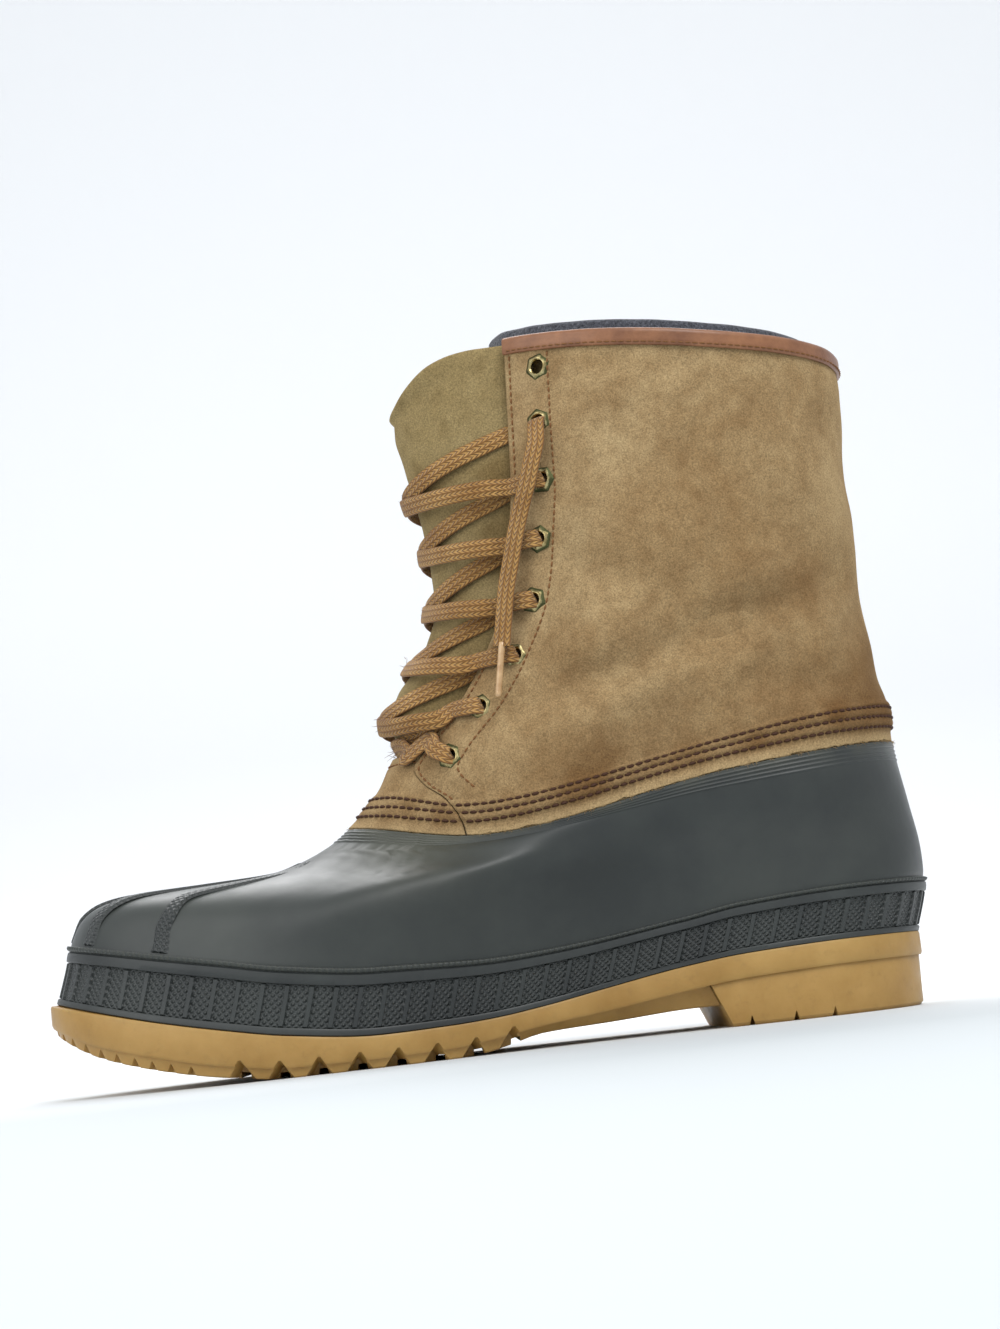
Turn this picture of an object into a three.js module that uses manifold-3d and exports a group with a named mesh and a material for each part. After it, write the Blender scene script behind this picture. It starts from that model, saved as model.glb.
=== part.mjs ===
// Pac boot for the right foot, standing empty on its sole
// Millimetres. +X points to the toe, +Y to the inner side of the foot, +Z up.
// The origin is on the floor, in the middle of the heel's flat rest.

import * as THREE from 'three';
import Module from 'manifold-3d';
import { mergeVertices } from 'three/addons/utils/BufferGeometryUtils.js';

const wasm = await Module();
wasm.setup();

// Driving sizes

const soleLength = 310;
const ballWidth = 114;
const heelHeight = 25.5;
const heelRestToBack = 40;
const bandHeight = 20;
const throatHeight = 84;
const shaftHeight = 236;
const toeLean = 5;

// Walls and clearances

const fitGap = 0.3;
const suede = 2;
const rubberWall = 2.6;
const bandWall = 2.2;
const soleLip = 1.2;
const toeLip = 1.6;
const soleStep = 1.2;
const linerWall = 5.5;
const linerRise = 5;
const insoleThickness = 4;
const tongueWall = 2;

// Details

const bindingHeight = 5;
const bindingWall = 1.1;
const ribPitch = 8.2;
const ribWidth = 1.7;
const ribHeight = 0.7;
const lipOut = 1;
const beadHeight = 1.5;
const notchPitch = 13;
const notchDepth = 7;
const notchRise = 7;
const toeNotchPitch = 6.5;
const toeNotchRise = 4;
const eyeletHole = 2.3;
const eyeletFlange = 5;
const eyeletBarrel = 2.9;
const eyeletRise = 1;
const laceWidth = 6.5;
const laceThickness = 1.3;
const laceSag = 0.02;
const laceReach = 1.66;
const laceLift = 4.4;
const laceSeat = 1.7;
const laceRise = 0.9;
const tipLength = 18;
const tipDiameter = 2.4;
const heelInset = 1.2;
const heelBevel = 1.2;
const breastSlope = 0.42;
const breastAt = 0.238;
const notchSink = 3;
const notchMouth = 1.35;
const grooveWidth = 3;
const grooveDepth = 2;
const stripeWidth = 6;
const stripeHeight = 0.7;
const linerSlack = 3.6;
const insoleSlack = 2.5;

// Places, as shares of the sole length, of the shaft height, or of the way round a ring

const notchStart = 0.478;
const notchChange = 0.81;
const heelNotchTurns = [0.155, 0.135, 0.115];
const facingTop = 1.15;
const throatPieceTop = 0.455;
const stripeSpread = 0.02;
const stripeFoot = 0.055;
const stripeBend = 2.5;
const stripeLevels = [1.15, 2, 3, 4, 5, 6, 7, 8];
const flangeLevel = 9.7;

// Steps round a ring

const formTurns = 36;
const facingStep = 6;
const eyeletSides = 6;

// Half widths of the sole: fullness against the round outline, as shares of the ball width

const soleOutline = [
  { at: 0.0, inner: 0.68, outer: 0.68 },
  { at: 0.06, inner: 0.62, outer: 0.62 },
  { at: 0.12, inner: 0.554, outer: 0.554 },
  { at: 0.25, inner: 0.4, outer: 0.433 },
  { at: 0.38, inner: 0.3, outer: 0.407 },
  { at: 0.5, inner: 0.35, outer: 0.44 },
  { at: 0.62, inner: 0.463, outer: 0.52 },
  { at: 0.72, inner: 0.53, outer: 0.585 },
  { at: 0.82, inner: 0.56, outer: 0.62 },
  { at: 0.92, inner: 0.6, outer: 0.65 },
  { at: 1.0, inner: 0.66, outer: 0.68 },
];
const ovalFullness = 0.4;

// Lines along the sole's edge, at shares of the sole length from its back.
// rim, wall and tread are shares of the heel height, band a share of the band height.

const edgeLines = [
  { at: 0.0, rim: 1.0, band: 0.94, wall: 0.686, tread: 0.3, inset: 1.0 },
  { at: 0.1, rim: 0.99, band: 0.92, wall: 0.68, tread: 0.3, inset: 1.0 },
  { at: 0.216, rim: 0.94, band: 0.88, wall: 0.63, tread: 0.3, inset: 2.0 },
  { at: 0.28, rim: 0.86, band: 0.83, wall: 0.55, tread: 0.3, inset: 4.0 },
  { at: 0.37, rim: 0.69, band: 0.86, wall: 0.4, tread: 0.24, inset: 5.0 },
  { at: 0.44, rim: 0.55, band: 0.93, wall: 0.31, tread: 0.2, inset: 4.0 },
  { at: 0.5, rim: 0.46, band: 1.0, wall: 0.2, tread: 0.05, inset: 1.5 },
  { at: 0.54, rim: 0.43, band: 1.05, wall: 0.14, tread: 0.0, inset: 1.0 },
  { at: 0.62, rim: 0.41, band: 1.12, wall: 0.12, tread: 0.0, inset: 1.0 },
  { at: 0.72, rim: 0.53, band: 1.15, wall: 0.13, tread: 0.0, inset: 1.0 },
  { at: 0.79, rim: 0.69, band: 1.17, wall: 0.24, tread: 0.09, inset: 1.0 },
  { at: 0.86, rim: 0.88, band: 1.15, wall: 0.43, tread: 0.26, inset: 1.0 },
  { at: 0.93, rim: 1.1, band: 1.1, wall: 0.68, tread: 0.52, inset: 1.0 },
  { at: 1.0, rim: 1.33, band: 1.04, wall: 1.08, tread: 0.98, inset: 1.0 },
];

// Rings of the boot's outer form, from the sole's rim up to the collar.
// back and front are shares of the sole length, the z columns up to the seam shares of the
// throat height and above it shares of the shaft height, at the back, the waist, the ball
// and the front. oval goes from the sole's outline to a plain oval, and heel, mid and fore
// scale the half widths.

const lowerRings = [
  { name: 'rim', back: 0.003, front: 0.987, zBack: 0.3, zMid: 0.24, zBall: 0.15, zFront: 0.4,
    oval: 0.0, heel: 0.99, mid: 0.99, fore: 0.985 },
  { name: 'bead', back: -0.014, front: 0.969, zBack: 0.527, zMid: 0.435, zBall: 0.452, zFront: 0.643,
    oval: 0.0, heel: 1.03, mid: 1.0, fore: 0.985 },
  { name: 'wall', back: -0.016, front: 0.963, zBack: 0.571, zMid: 0.482, zBall: 0.488, zFront: 0.69,
    oval: 0.03, heel: 1.04, mid: 1.01, fore: 0.98 },
  { name: 'side', back: -0.016, front: 0.955, zBack: 0.637, zMid: 0.554, zBall: 0.548, zFront: 0.738,
    oval: 0.08, heel: 1.05, mid: 1.03, fore: 0.97 },
  { name: 'toe', back: -0.0145, front: 0.933, zBack: 0.714, zMid: 0.631, zBall: 0.625, zFront: 0.79,
    oval: 0.15, heel: 1.07, mid: 1.05, fore: 0.985 },
  { name: 'vamp', back: -0.011, front: 0.899, zBack: 0.792, zMid: 0.708, zBall: 0.696, zFront: 0.813,
    oval: 0.3, heel: 1.1, mid: 1.05, fore: 0.975 },
  { name: 'crown', back: -0.008, front: 0.816, zBack: 0.869, zMid: 0.786, zBall: 0.744, zFront: 0.823,
    oval: 0.5, heel: 1.16, mid: 1.0, fore: 0.98 },
  { name: 'instep', back: -0.005, front: 0.742, zBack: 0.946, zMid: 0.863, zBall: 0.786, zFront: 0.836,
    oval: 0.7, heel: 1.22, mid: 0.96, fore: 0.92 },
  { name: 'saddle', back: -0.002, front: 0.694, zBack: 1.024, zMid: 0.94, zBall: 0.839, zFront: 0.886,
    oval: 0.85, heel: 1.27, mid: 0.95, fore: 0.93 },
  { name: 'seam', back: 0.0, front: 0.643, zBack: 1.115, zMid: 1.03, zBall: 0.887, zFront: 1.0,
    oval: 1.0, heel: 1.28, mid: 0.92, fore: 0.9 },
];
const upperRings = [
  { name: 'ankle', back: 0.001, front: 0.606, zBack: 0.453, zMid: 0.419, zBall: 0.377, zFront: 0.407,
    oval: 1.0, heel: 1.25, mid: 0.91, fore: 0.92 },
  { name: 'heel', back: 0.008, front: 0.584, zBack: 0.5, zMid: 0.475, zBall: 0.436, zFront: 0.453,
    oval: 1.0, heel: 1.2, mid: 0.92, fore: 0.93 },
  { name: 'joint', back: 0.012, front: 0.548, zBack: 0.555, zMid: 0.538, zBall: 0.508, zFront: 0.517,
    oval: 1.0, heel: 1.15, mid: 0.94, fore: 0.93 },
  { name: 'leg', back: 0.015, front: 0.494, zBack: 0.644, zMid: 0.636, zBall: 0.627, zFront: 0.631,
    oval: 1.0, heel: 1.1, mid: 0.96, fore: 0.95 },
  { name: 'calf', back: 0.013, front: 0.4645, zBack: 0.763, zMid: 0.763, zBall: 0.763, zFront: 0.771,
    oval: 1.0, heel: 1.08, mid: 1.02, fore: 1.0 },
  { name: 'upper', back: 0.009, front: 0.448, zBack: 0.89, zMid: 0.894, zBall: 0.903, zFront: 0.915,
    oval: 1.0, heel: 1.08, mid: 1.07, fore: 1.04 },
  { name: 'collar', back: 0.0065, front: 0.442, zBack: 1.0, zMid: 1.015, zBall: 1.047, zFront: 1.072,
    oval: 1.0, heel: 1.08, mid: 1.1, fore: 1.06 },
];
const zColumns = ['zBack', 'zMid', 'zBall', 'zFront'];
const rings = [
  ...lowerRings.map((ring) => inMillimetres(ring, throatHeight)),
  ...upperRings.map((ring) => inMillimetres(ring, shaftHeight)),
].map((ring, index) => ({ ...ring, at: index }));
const beadLevel = 1;
const seamLevel = lowerRings.length - 1;
const collarLevel = rings.length - 1;

// Front edge of the quarters, seen from the side: share of the sole length at a share of
// the shaft height

const facingEdge = [
  { at: 0.28, x: 0.503 },
  { at: 0.34, x: 0.51 },
  { at: 0.377, x: 0.526 },
  { at: 0.403, x: 0.548 },
  { at: 0.428, x: 0.558 },
  { at: 0.449, x: 0.548 },
  { at: 0.506, x: 0.506 },
  { at: 0.576, x: 0.468 },
  { at: 0.655, x: 0.439 },
  { at: 0.746, x: 0.424 },
  { at: 0.835, x: 0.413 },
  { at: 0.975, x: 0.406 },
  { at: 1.1, x: 0.4 },
];

// Eyelets from the top down: shares of the sole length and of the shaft height

const eyeletPlaces = [
  { x: 0.368, z: 1.008 },
  { x: 0.374, z: 0.924 },
  { x: 0.378, z: 0.835 },
  { x: 0.389, z: 0.746 },
  { x: 0.403, z: 0.655 },
  { x: 0.43, z: 0.576 },
  { x: 0.4755, z: 0.506 },
  { x: 0.516, z: 0.4385 },
];

// The tongue's front: share of the sole length at a share of the shaft height, how far it bows
// out of the form, and how far its front dips below its sides

const tongueRows = [
  { at: 0.41, x: 0.5965, bow: 0.0, dip: 0.0 },
  { at: 0.438, x: 0.583, bow: 0.0, dip: 0.0 },
  { at: 0.464, x: 0.577, bow: 0.3, dip: 0.0 },
  { at: 0.488, x: 0.581, bow: 0.75, dip: 0.0 },
  { at: 0.513, x: 0.582, bow: 1.0, dip: 0.0 },
  { at: 0.56, x: 0.568, bow: 1.0, dip: 0.0 },
  { at: 0.61, x: 0.538, bow: 1.0, dip: 0.0 },
  { at: 0.69, x: 0.514, bow: 1.0, dip: 0.0 },
  { at: 0.8, x: 0.517, bow: 1.0, dip: 0.0 },
  { at: 0.9, x: 0.532, bow: 1.0, dip: 0.0 },
  { at: 0.98, x: 0.541, bow: 1.0, dip: 0.02 },
  { at: 1.06, x: 0.54, bow: 1.0, dip: 0.07 },
];
const tongueTuck = 14;

// Route of a lace end from the second eyelet down: shares of the sole length and of the shaft
// height, and how far it stands out sideways from the form

const lacePlaces = [
  { x: 0.3761, z: 0.9131, out: 2.9 },
  { x: 0.3813, z: 0.8898, out: 6.3 },
  { x: 0.3887, z: 0.8602, out: 8.1 },
  { x: 0.3968, z: 0.8263, out: 8.4 },
  { x: 0.4065, z: 0.7924, out: 8.5 },
  { x: 0.4161, z: 0.7542, out: 8.5 },
  { x: 0.4242, z: 0.7161, out: 8.4 },
  { x: 0.4323, z: 0.678, out: 8.5 },
  { x: 0.4387, z: 0.6356, out: 8.2 },
  { x: 0.4452, z: 0.589, out: 7.7 },
];

// Tables and curves

function inMillimetres(ring, height) {
  const scaled = { ...ring };
  for (const column of zColumns) {
    scaled[column] = ring[column] * height;
  }
  return scaled;
}

function along(rows, key, at) {
  const last = rows.length - 1;
  if (at <= rows[0].at) {
    return rows[0][key];
  }
  if (at >= rows[last].at) {
    return rows[last][key];
  }
  let k = 0;
  while (rows[k + 1].at < at) {
    k += 1;
  }
  const rise = (i) => (rows[i + 1][key] - rows[i][key]) / (rows[i + 1].at - rows[i].at);
  const slope = (i) => {
    if (i === 0 || i === last) {
      return rise(Math.min(i, last - 1));
    }
    const [before, after] = [rise(i - 1), rise(i)];
    return before * after > 0 ? (2 * before * after) / (before + after) : 0;
  };
  const span = rows[k + 1].at - rows[k].at;
  const s = (at - rows[k].at) / span;
  const start = (1 + 2 * s) * (1 - s) ** 2;
  const end = s * s * (3 - 2 * s);
  const leave = s * (1 - s) ** 2 * span * slope(k);
  const arrive = s * s * (s - 1) * span * slope(k + 1);
  return start * rows[k][key] + end * rows[k + 1][key] + leave + arrive;
}

function ease(from, to, value) {
  const s = Math.min(Math.max((value - from) / (to - from), 0), 1);
  return s * s * (3 - 2 * s);
}

const toX = (share) => share * soleLength - heelRestToBack;
const toShare = (x) => (x + heelRestToBack) / soleLength;

// The outer form. level counts the rings, turn goes from the back (0) round the inner side
// to the front (0.5) and back by the outer side (1).

function formPoint(level, turn) {
  const whole = turn - Math.floor(turn);
  const side = whole <= 0.5 ? 1 : -1;
  const half = whole <= 0.5 ? 2 * whole : 2 - 2 * whole;
  const share = (1 - Math.cos(Math.PI * half)) / 2;
  const row = (key) => along(rings, key, level);
  const reach = row('back') + (row('front') - row('back')) * share;
  const outline = along(soleOutline, side > 0 ? 'inner' : 'outer', share);
  const oval = row('oval');
  const fullness = outline * (1 - oval) + ovalFullness * oval;
  const widths = [
    { at: 0.12, f: row('heel') },
    { at: 0.5, f: row('mid') },
    { at: 0.85, f: row('fore') },
  ];
  const halfWidth = Math.sin(Math.PI * half) * fullness * along(widths, 'f', share) * ballWidth;
  const lean = toeLean * ease(0.6, 1, reach);
  return new THREE.Vector3(toX(reach), side * halfWidth + lean, formHeight(level, share, reach));
}

function formHeight(level, share, reach) {
  const rim = heelHeight * along(edgeLines, 'rim', reach);
  const band = bandHeight * along(edgeLines, 'band', reach);
  if (level <= beadLevel) {
    return rim + band * level;
  }
  const line = (at) => {
    const knots = [0, 0.35, 0.75, 1].map((place, i) => (
      { at: place, z: along(rings, zColumns[i], at) }
    ));
    return along(knots, 'z', share);
  };
  const follow = Math.max(0, 1 - (level - beadLevel) / 2);
  return line(level) + (rim + band - line(beadLevel)) * follow;
}

function formNormal(level, turn) {
  const step = 0.01;
  const low = formPoint(Math.max(level - step, 0), turn);
  const high = formPoint(Math.min(level + step, collarLevel), turn);
  const before = formPoint(level, turn - step);
  const after = formPoint(level, turn + step);
  return high.sub(low).cross(after.sub(before)).normalize();
}

function skin(level, turn, out) {
  return formPoint(level, turn).addScaledVector(formNormal(level, turn), out);
}

// Level and turn of the place on the form that a side view shows at x and z

function findOnForm(x, z, side) {
  const heightAt = (half) => {
    let low = beadLevel;
    let high = collarLevel;
    for (let i = 0; i < 30; i += 1) {
      const level = (low + high) / 2;
      if (formPoint(level, half / 2).z < z) {
        low = level;
      } else {
        high = level;
      }
    }
    return (low + high) / 2;
  };
  let back = 0.2;
  let front = 1;
  for (let i = 0; i < 30; i += 1) {
    const half = (back + front) / 2;
    if (formPoint(heightAt(half), half / 2).x < x) {
      back = half;
    } else {
      front = half;
    }
  }
  const half = (back + front) / 2;
  return { level: heightAt(half), turn: side > 0 ? half / 2 : 1 - half / 2 };
}

// Mesh helpers

function closedGeometry(points, faces) {
  const geometry = new THREE.BufferGeometry();
  const position = new Float32Array(points.length * 3);
  points.forEach((point, i) => point.toArray(position, i * 3));
  geometry.setAttribute('position', new THREE.BufferAttribute(position, 3));
  geometry.setIndex(faces.flat());
  return geometry;
}

function facedOut(geometry) {
  const at = geometry.attributes.position;
  const index = geometry.index.array;
  const corner = (i) => new THREE.Vector3().fromBufferAttribute(at, index[i]);
  let volume = 0;
  for (let i = 0; i < index.length; i += 3) {
    volume += corner(i).dot(corner(i + 1).cross(corner(i + 2)));
  }
  if (volume < 0) {
    for (let i = 0; i < index.length; i += 3) {
      [index[i], index[i + 1]] = [index[i + 1], index[i]];
    }
  }
  return geometry;
}

function quad(a, b, c, d) {
  return [[a, b, c], [a, c, d]];
}

// Closed rows of points joined to each other, the last row to the first: a hollow ring
function ringSolid(rows) {
  const count = rows[0].length;
  const faces = [];
  rows.forEach((row, r) => {
    const next = (r + 1) % rows.length;
    for (let i = 0; i < count; i += 1) {
      const j = (i + 1) % count;
      faces.push(...quad(r * count + i, r * count + j, next * count + j, next * count + i));
    }
  });
  return facedOut(closedGeometry(rows.flat(), faces));
}

// Closed rows of points with both end rows filled across, inner side to outer side
function filledSolid(rows) {
  const count = rows[0].length;
  const faces = [];
  for (let r = 0; r + 1 < rows.length; r += 1) {
    for (let i = 0; i < count; i += 1) {
      const j = (i + 1) % count;
      faces.push(...quad(r * count + i, r * count + j, (r + 1) * count + j, (r + 1) * count + i));
    }
  }
  const across = (base, flip) => {
    const fill = [];
    for (let i = 0; i < count / 2; i += 1) {
      const near = [base + i, base + i + 1];
      const far = [base + ((count - i) % count), base + count - i - 1];
      if (i > 0) {
        fill.push([near[0], far[0], near[1]]);
      }
      if (i < count / 2 - 1) {
        fill.push([near[1], far[0], far[1]]);
      }
    }
    return flip ? fill.map(([a, b, c]) => [b, a, c]) : fill;
  };
  faces.push(...across(0, false), ...across((rows.length - 1) * count, true));
  return facedOut(closedGeometry(rows.flat(), faces));
}

// Sections swept one after another, each two parallel chains of points that meet at the ends
function sweptSolid(sections) {
  const count = sections[0].length;
  const faces = [];
  for (let s = 0; s + 1 < sections.length; s += 1) {
    for (let i = 0; i < count; i += 1) {
      const j = (i + 1) % count;
      faces.push(...quad(s * count + i, s * count + j, (s + 1) * count + j, (s + 1) * count + i));
    }
  }
  const cap = (base, flip) => {
    const fill = [];
    for (let i = 0; i + 1 < count / 2; i += 1) {
      fill.push(...quad(base + i, base + count - 1 - i, base + count - 2 - i, base + i + 1));
    }
    return flip ? fill.map(([a, b, c]) => [b, a, c]) : fill;
  };
  faces.push(...cap(0, false), ...cap((sections.length - 1) * count, true));
  return facedOut(closedGeometry(sections.flat(), faces));
}

function toSolid(geometry) {
  const bare = geometry.clone();
  bare.deleteAttribute('normal');
  bare.deleteAttribute('uv');
  const merged = mergeVertices(bare, 1e-4);
  return new wasm.Manifold(new wasm.Mesh({
    numProp: 3,
    vertProperties: new Float32Array(merged.attributes.position.array),
    triVerts: new Uint32Array(merged.index.array),
  }));
}

function toGeometry(solid) {
  const mesh = solid.getMesh();
  const geometry = new THREE.BufferGeometry();
  geometry.setAttribute('position', new THREE.BufferAttribute(mesh.vertProperties, 3));
  geometry.setIndex(new THREE.BufferAttribute(mesh.triVerts, 1));
  return geometry;
}

function turns(count) {
  return Array.from({ length: count }, (_, i) => i / count);
}

function skinRow(level, out, count) {
  return turns(count).map((turn) => skin(level, turn, out));
}

// Outsole: a moulded plate with its lip, its stepped side and the arch, notched at the edge

const soleTurns = 44;
const bottomSlack = 30;
const widthSlack = 90;

const lineHeight = (key) => (share) => heelHeight * Math.max(along(edgeLines, key, share), 0);
const lipAt = (share) => soleLip * (1 + toeLip * ease(0.85, 1, share));

function soleRow(height, out) {
  return turns(soleTurns).map((turn) => {
    const edge = formPoint(0, turn);
    const share = toShare(edge.x);
    edge.addScaledVector(formNormal(0, turn).setZ(0).normalize(), out(share));
    edge.z = height(share);
    return edge;
  });
}

// A prism along Y over an outline in X and Z
function sidePrism(outline) {
  const shape = new THREE.Shape(outline.map(([x, z]) => new THREE.Vector2(x, z)));
  const prism = new THREE.ExtrudeGeometry(shape, { depth: 2 * widthSlack, bevelEnabled: false });
  return toSolid(prism.rotateX(Math.PI / 2).translate(0, widthSlack, 0));
}

// Everything in front of the heel's slanted breast, moved forward by a gap
function aheadOfBreast(gap) {
  const top = heelHeight + bottomSlack;
  const foot = breastAt * soleLength - heelRestToBack + gap;
  return sidePrism([
    [foot - bottomSlack * breastSlope, -bottomSlack], [soleLength + bottomSlack, -bottomSlack],
    [soleLength + bottomSlack, top], [foot + top * breastSlope, top],
  ]);
}

// A wedge cut out of the edge: its mouth on the tread, narrower towards the inside
function notch(place, normal, depth, mouth, rise) {
  const tangent = new THREE.Vector3(-normal.y, normal.x, 0);
  const section = (out, scale) => [[-1, 0], [-0.06, 1], [0.06, 1], [1, 0]].map(([across, up]) => (
    place.clone()
      .addScaledVector(normal, out)
      .addScaledVector(tangent, (across * mouth * scale) / 2)
      .add(new THREE.Vector3(0, 0, up * rise * scale - (1 - up) * notchSink))
  ));
  return toSolid(sweptSolid([section(2 * soleLip, 1), section(-depth, 0.55)]));
}

function edgeNotches() {
  const cuts = [];
  const notchAt = (turn, mouth, rise, depth) => {
    const edge = formPoint(0, turn);
    const normal = formNormal(0, turn).setZ(0).normalize();
    edge.z = lineHeight('tread')(toShare(edge.x));
    cuts.push(notch(edge, normal, depth, mouth, rise));
  };
  const steps = 400;
  const first = notchStart * soleLength - heelRestToBack;
  const change = notchChange * soleLength - heelRestToBack;
  let next = first;
  let walked = 0;
  let last = formPoint(0, 0);
  for (let i = 1; i < steps; i += 1) {
    const turn = (0.5 * i) / steps;
    const here = formPoint(0, turn);
    if (here.x < change && here.x >= next) {
      notchAt(turn, notchMouth * notchPitch, notchRise, notchDepth);
      notchAt(1 - turn, notchMouth * notchPitch, notchRise, notchDepth);
      next += notchPitch;
    }
    if (here.x >= change) {
      walked += here.distanceTo(last);
      if (walked >= toeNotchPitch) {
        notchAt(turn, notchMouth * toeNotchPitch, toeNotchRise, notchDepth / 2);
        notchAt(1 - turn, notchMouth * toeNotchPitch, toeNotchRise, notchDepth / 2);
        walked = 0;
      }
    }
    last = here;
  }
  return cuts;
}

// Grooves across the tread between the edge notches
function treadGrooves() {
  const cuts = [];
  const change = notchChange * soleLength - heelRestToBack;
  for (let x = notchStart * soleLength - heelRestToBack; x < change; x += notchPitch) {
    const z = lineHeight('tread')(toShare(x));
    const slope = lineHeight('tread')(toShare(x + 1)) - z;
    const half = grooveWidth / 2;
    cuts.push(sidePrism([
      [x - half - 0.6, z - notchSink], [x + half + 0.6, z - notchSink],
      [x + half, z + half * slope + grooveDepth], [x - half, z - half * slope + grooveDepth],
    ]));
  }
  return cuts;
}

function outsole() {
  const wall = lineHeight('wall');
  const tread = lineHeight('tread');
  const plate = toSolid(filledSolid([
    soleRow((share) => lineHeight('rim')(share) - fitGap, () => 0),
    soleRow((share) => lineHeight('rim')(share) - fitGap - 1, lipAt),
    soleRow(wall, lipAt),
  ]));
  const inset = (share) => soleStep * along(edgeLines, 'inset', share);
  const under = toSolid(filledSolid([
    soleRow((share) => wall(share) + 1, (share) => lipAt(share) - inset(share)),
    soleRow(tread, (share) => lipAt(share) - 1.6 * inset(share)),
  ])).intersect(aheadOfBreast(fitGap));
  const cuts = [...edgeNotches(), ...treadGrooves()];
  return toGeometry(cuts.reduce((solid, cut) => solid.subtract(cut), plate.add(under)));
}

// Heel block under the outsole, with a bevel round its foot and small notches in its edge
function heel() {
  const wall = lineHeight('wall');
  const block = toSolid(filledSolid([
    soleRow((share) => wall(share) - fitGap, () => soleLip - heelInset),
    soleRow(() => heelBevel, () => soleLip - 1.5 * heelInset),
    soleRow(() => 0, () => soleLip - 1.5 * heelInset - heelBevel),
  ])).subtract(aheadOfBreast(0));
  let solid = block;
  for (const turn of heelNotchTurns.flatMap((place) => [place, 1 - place])) {
    const edge = formPoint(0, turn).setZ(0);
    const normal = formNormal(0, turn).setZ(0).normalize();
    solid = solid.subtract(notch(edge, normal, notchDepth, 0.4 * notchPitch, toeNotchRise));
  }
  return toGeometry(solid);
}

// Rubber lower: hollow, with a rebate for the foxing band and a flange for the suede

function rubberLower() {
  const under = bandWall + fitGap;
  const flange = suede + fitGap;
  const rows = [
    [0, -under], [1.08, -under], [1.1, 0], [2, 0], [3, 0], [4, 0], [5, 0], [6, 0], [7, 0], [8, 0],
    [seamLevel, 0], [seamLevel, -flange], [flangeLevel, -flange],
    [flangeLevel, -flange - rubberWall], [8.5, -rubberWall], [7, -rubberWall], [5, -rubberWall],
    [3.5, -rubberWall], [1.5, -rubberWall], [0.9, -under - rubberWall], [0, -under - rubberWall],
  ];
  return ringSolid(rows.map(([level, out]) => skinRow(level, out, formTurns)));
}

// Foxing band: a smooth rim, ribbed panels, a ridge, and the bead on top

function foxingBand() {
  const rows = [
    [0.02, -bandWall], [0.02, lipOut], [0.12, lipOut], [0.13, 0], [0.75, 0],
    [0.76, lipOut], [0.93, lipOut], [0.95, beadHeight], [1.04, beadHeight], [1.06, -bandWall],
  ];
  let band = toSolid(ringSolid(rows.map(([level, out]) => skinRow(level, out, formTurns))));
  const ribs = ribTurns().map(({ turn, half }) => toSolid(sweptSolid([0.15, 0.73].map((level) => [
    skin(level, turn - half, -1), skin(level, turn - half, ribHeight),
    skin(level, turn + half, ribHeight), skin(level, turn + half, -1),
  ]))));
  for (const rib of ribs) {
    band = band.add(rib);
  }
  return toGeometry(band);
}

// Places of the ribs at an even pitch round the middle of the band
function ribTurns() {
  const steps = 720;
  const points = turns(steps).map((turn) => formPoint(0.44, turn));
  const lengths = points.map((point, i) => point.distanceTo(points[(i + 1) % steps]));
  const whole = lengths.reduce((sum, length) => sum + length, 0);
  const count = Math.round(whole / ribPitch);
  const found = [];
  let walked = 0;
  lengths.forEach((length, i) => {
    if (walked + length > (found.length * whole) / count) {
      found.push({ turn: i / steps, half: ribWidth / (2 * length * steps) });
    }
    walked += length;
  });
  return found.slice(0, count);
}

// Raised stripes that fan out over the toe, each between two lines on the lower's own form
function toeStripes() {
  const stripe = (place) => {
    const sections = stripeLevels.map((level, i) => {
      const share = i / (stripeLevels.length - 1);
      const turn = 0.5 + place * (stripeFoot + (stripeSpread - stripeFoot) * share ** stripeBend);
      const middle = formPoint(level, turn);
      const speed = middle.distanceTo(formPoint(level, turn + 0.002)) / 0.002;
      const half = (stripeWidth * (0.55 + 0.45 * (1 - share))) / (2 * speed);
      return [
        skin(level, turn - half, -1), skin(level, turn - half, stripeHeight),
        skin(level, turn + half, stripeHeight), skin(level, turn + half, -1),
      ];
    });
    return toSolid(sweptSolid(sections));
  };
  return [-2, -1, 0, 1, 2].map(stripe);
}

function lowerWithStripes() {
  const lower = toSolid(rubberLower());
  return toGeometry(toeStripes().reduce((solid, stripe) => solid.add(stripe), lower));
}

// Shaft: hollow suede, open at the collar and at the throat

const toZ = (share) => share * shaftHeight;
const facingX = (z) => toX(along(facingEdge, 'x', z / shaftHeight));

// Everything in front of the quarters' edges, moved forward by a gap
function throatPrism(gap, top) {
  const bottom = facingEdge[0].at * shaftHeight;
  const outline = [];
  for (let z = bottom; z < top; z += facingStep) {
    outline.push([facingX(z) + gap, z]);
  }
  return sidePrism([...outline, [facingX(top) + gap, top], [soleLength, top], [soleLength, bottom]]);
}

function shaftWall() {
  const start = seamLevel + 0.04;
  const outer = [start, 10, 11, 12, 13, 14, 15, collarLevel];
  const inner = [collarLevel, 14.5, 13, 12, 11, 10, start];
  return toSolid(ringSolid([
    ...outer.map((level) => skinRow(level, 0, formTurns)),
    ...inner.map((level) => skinRow(level, -suede, formTurns)),
  ]));
}

function eyeletFrames() {
  return [1, -1].flatMap((side) => eyeletPlaces.map((place, i) => {
    const found = findOnForm(toX(place.x), toZ(place.z), side);
    return {
      name: `eyelet_${side > 0 ? 'inner' : 'outer'}_${i + 1}`,
      at: formPoint(found.level, found.turn),
      normal: formNormal(found.level, found.turn),
    };
  }));
}

function turnedTo(normal) {
  return new THREE.Quaternion().setFromUnitVectors(new THREE.Vector3(0, 1, 0), normal);
}

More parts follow.
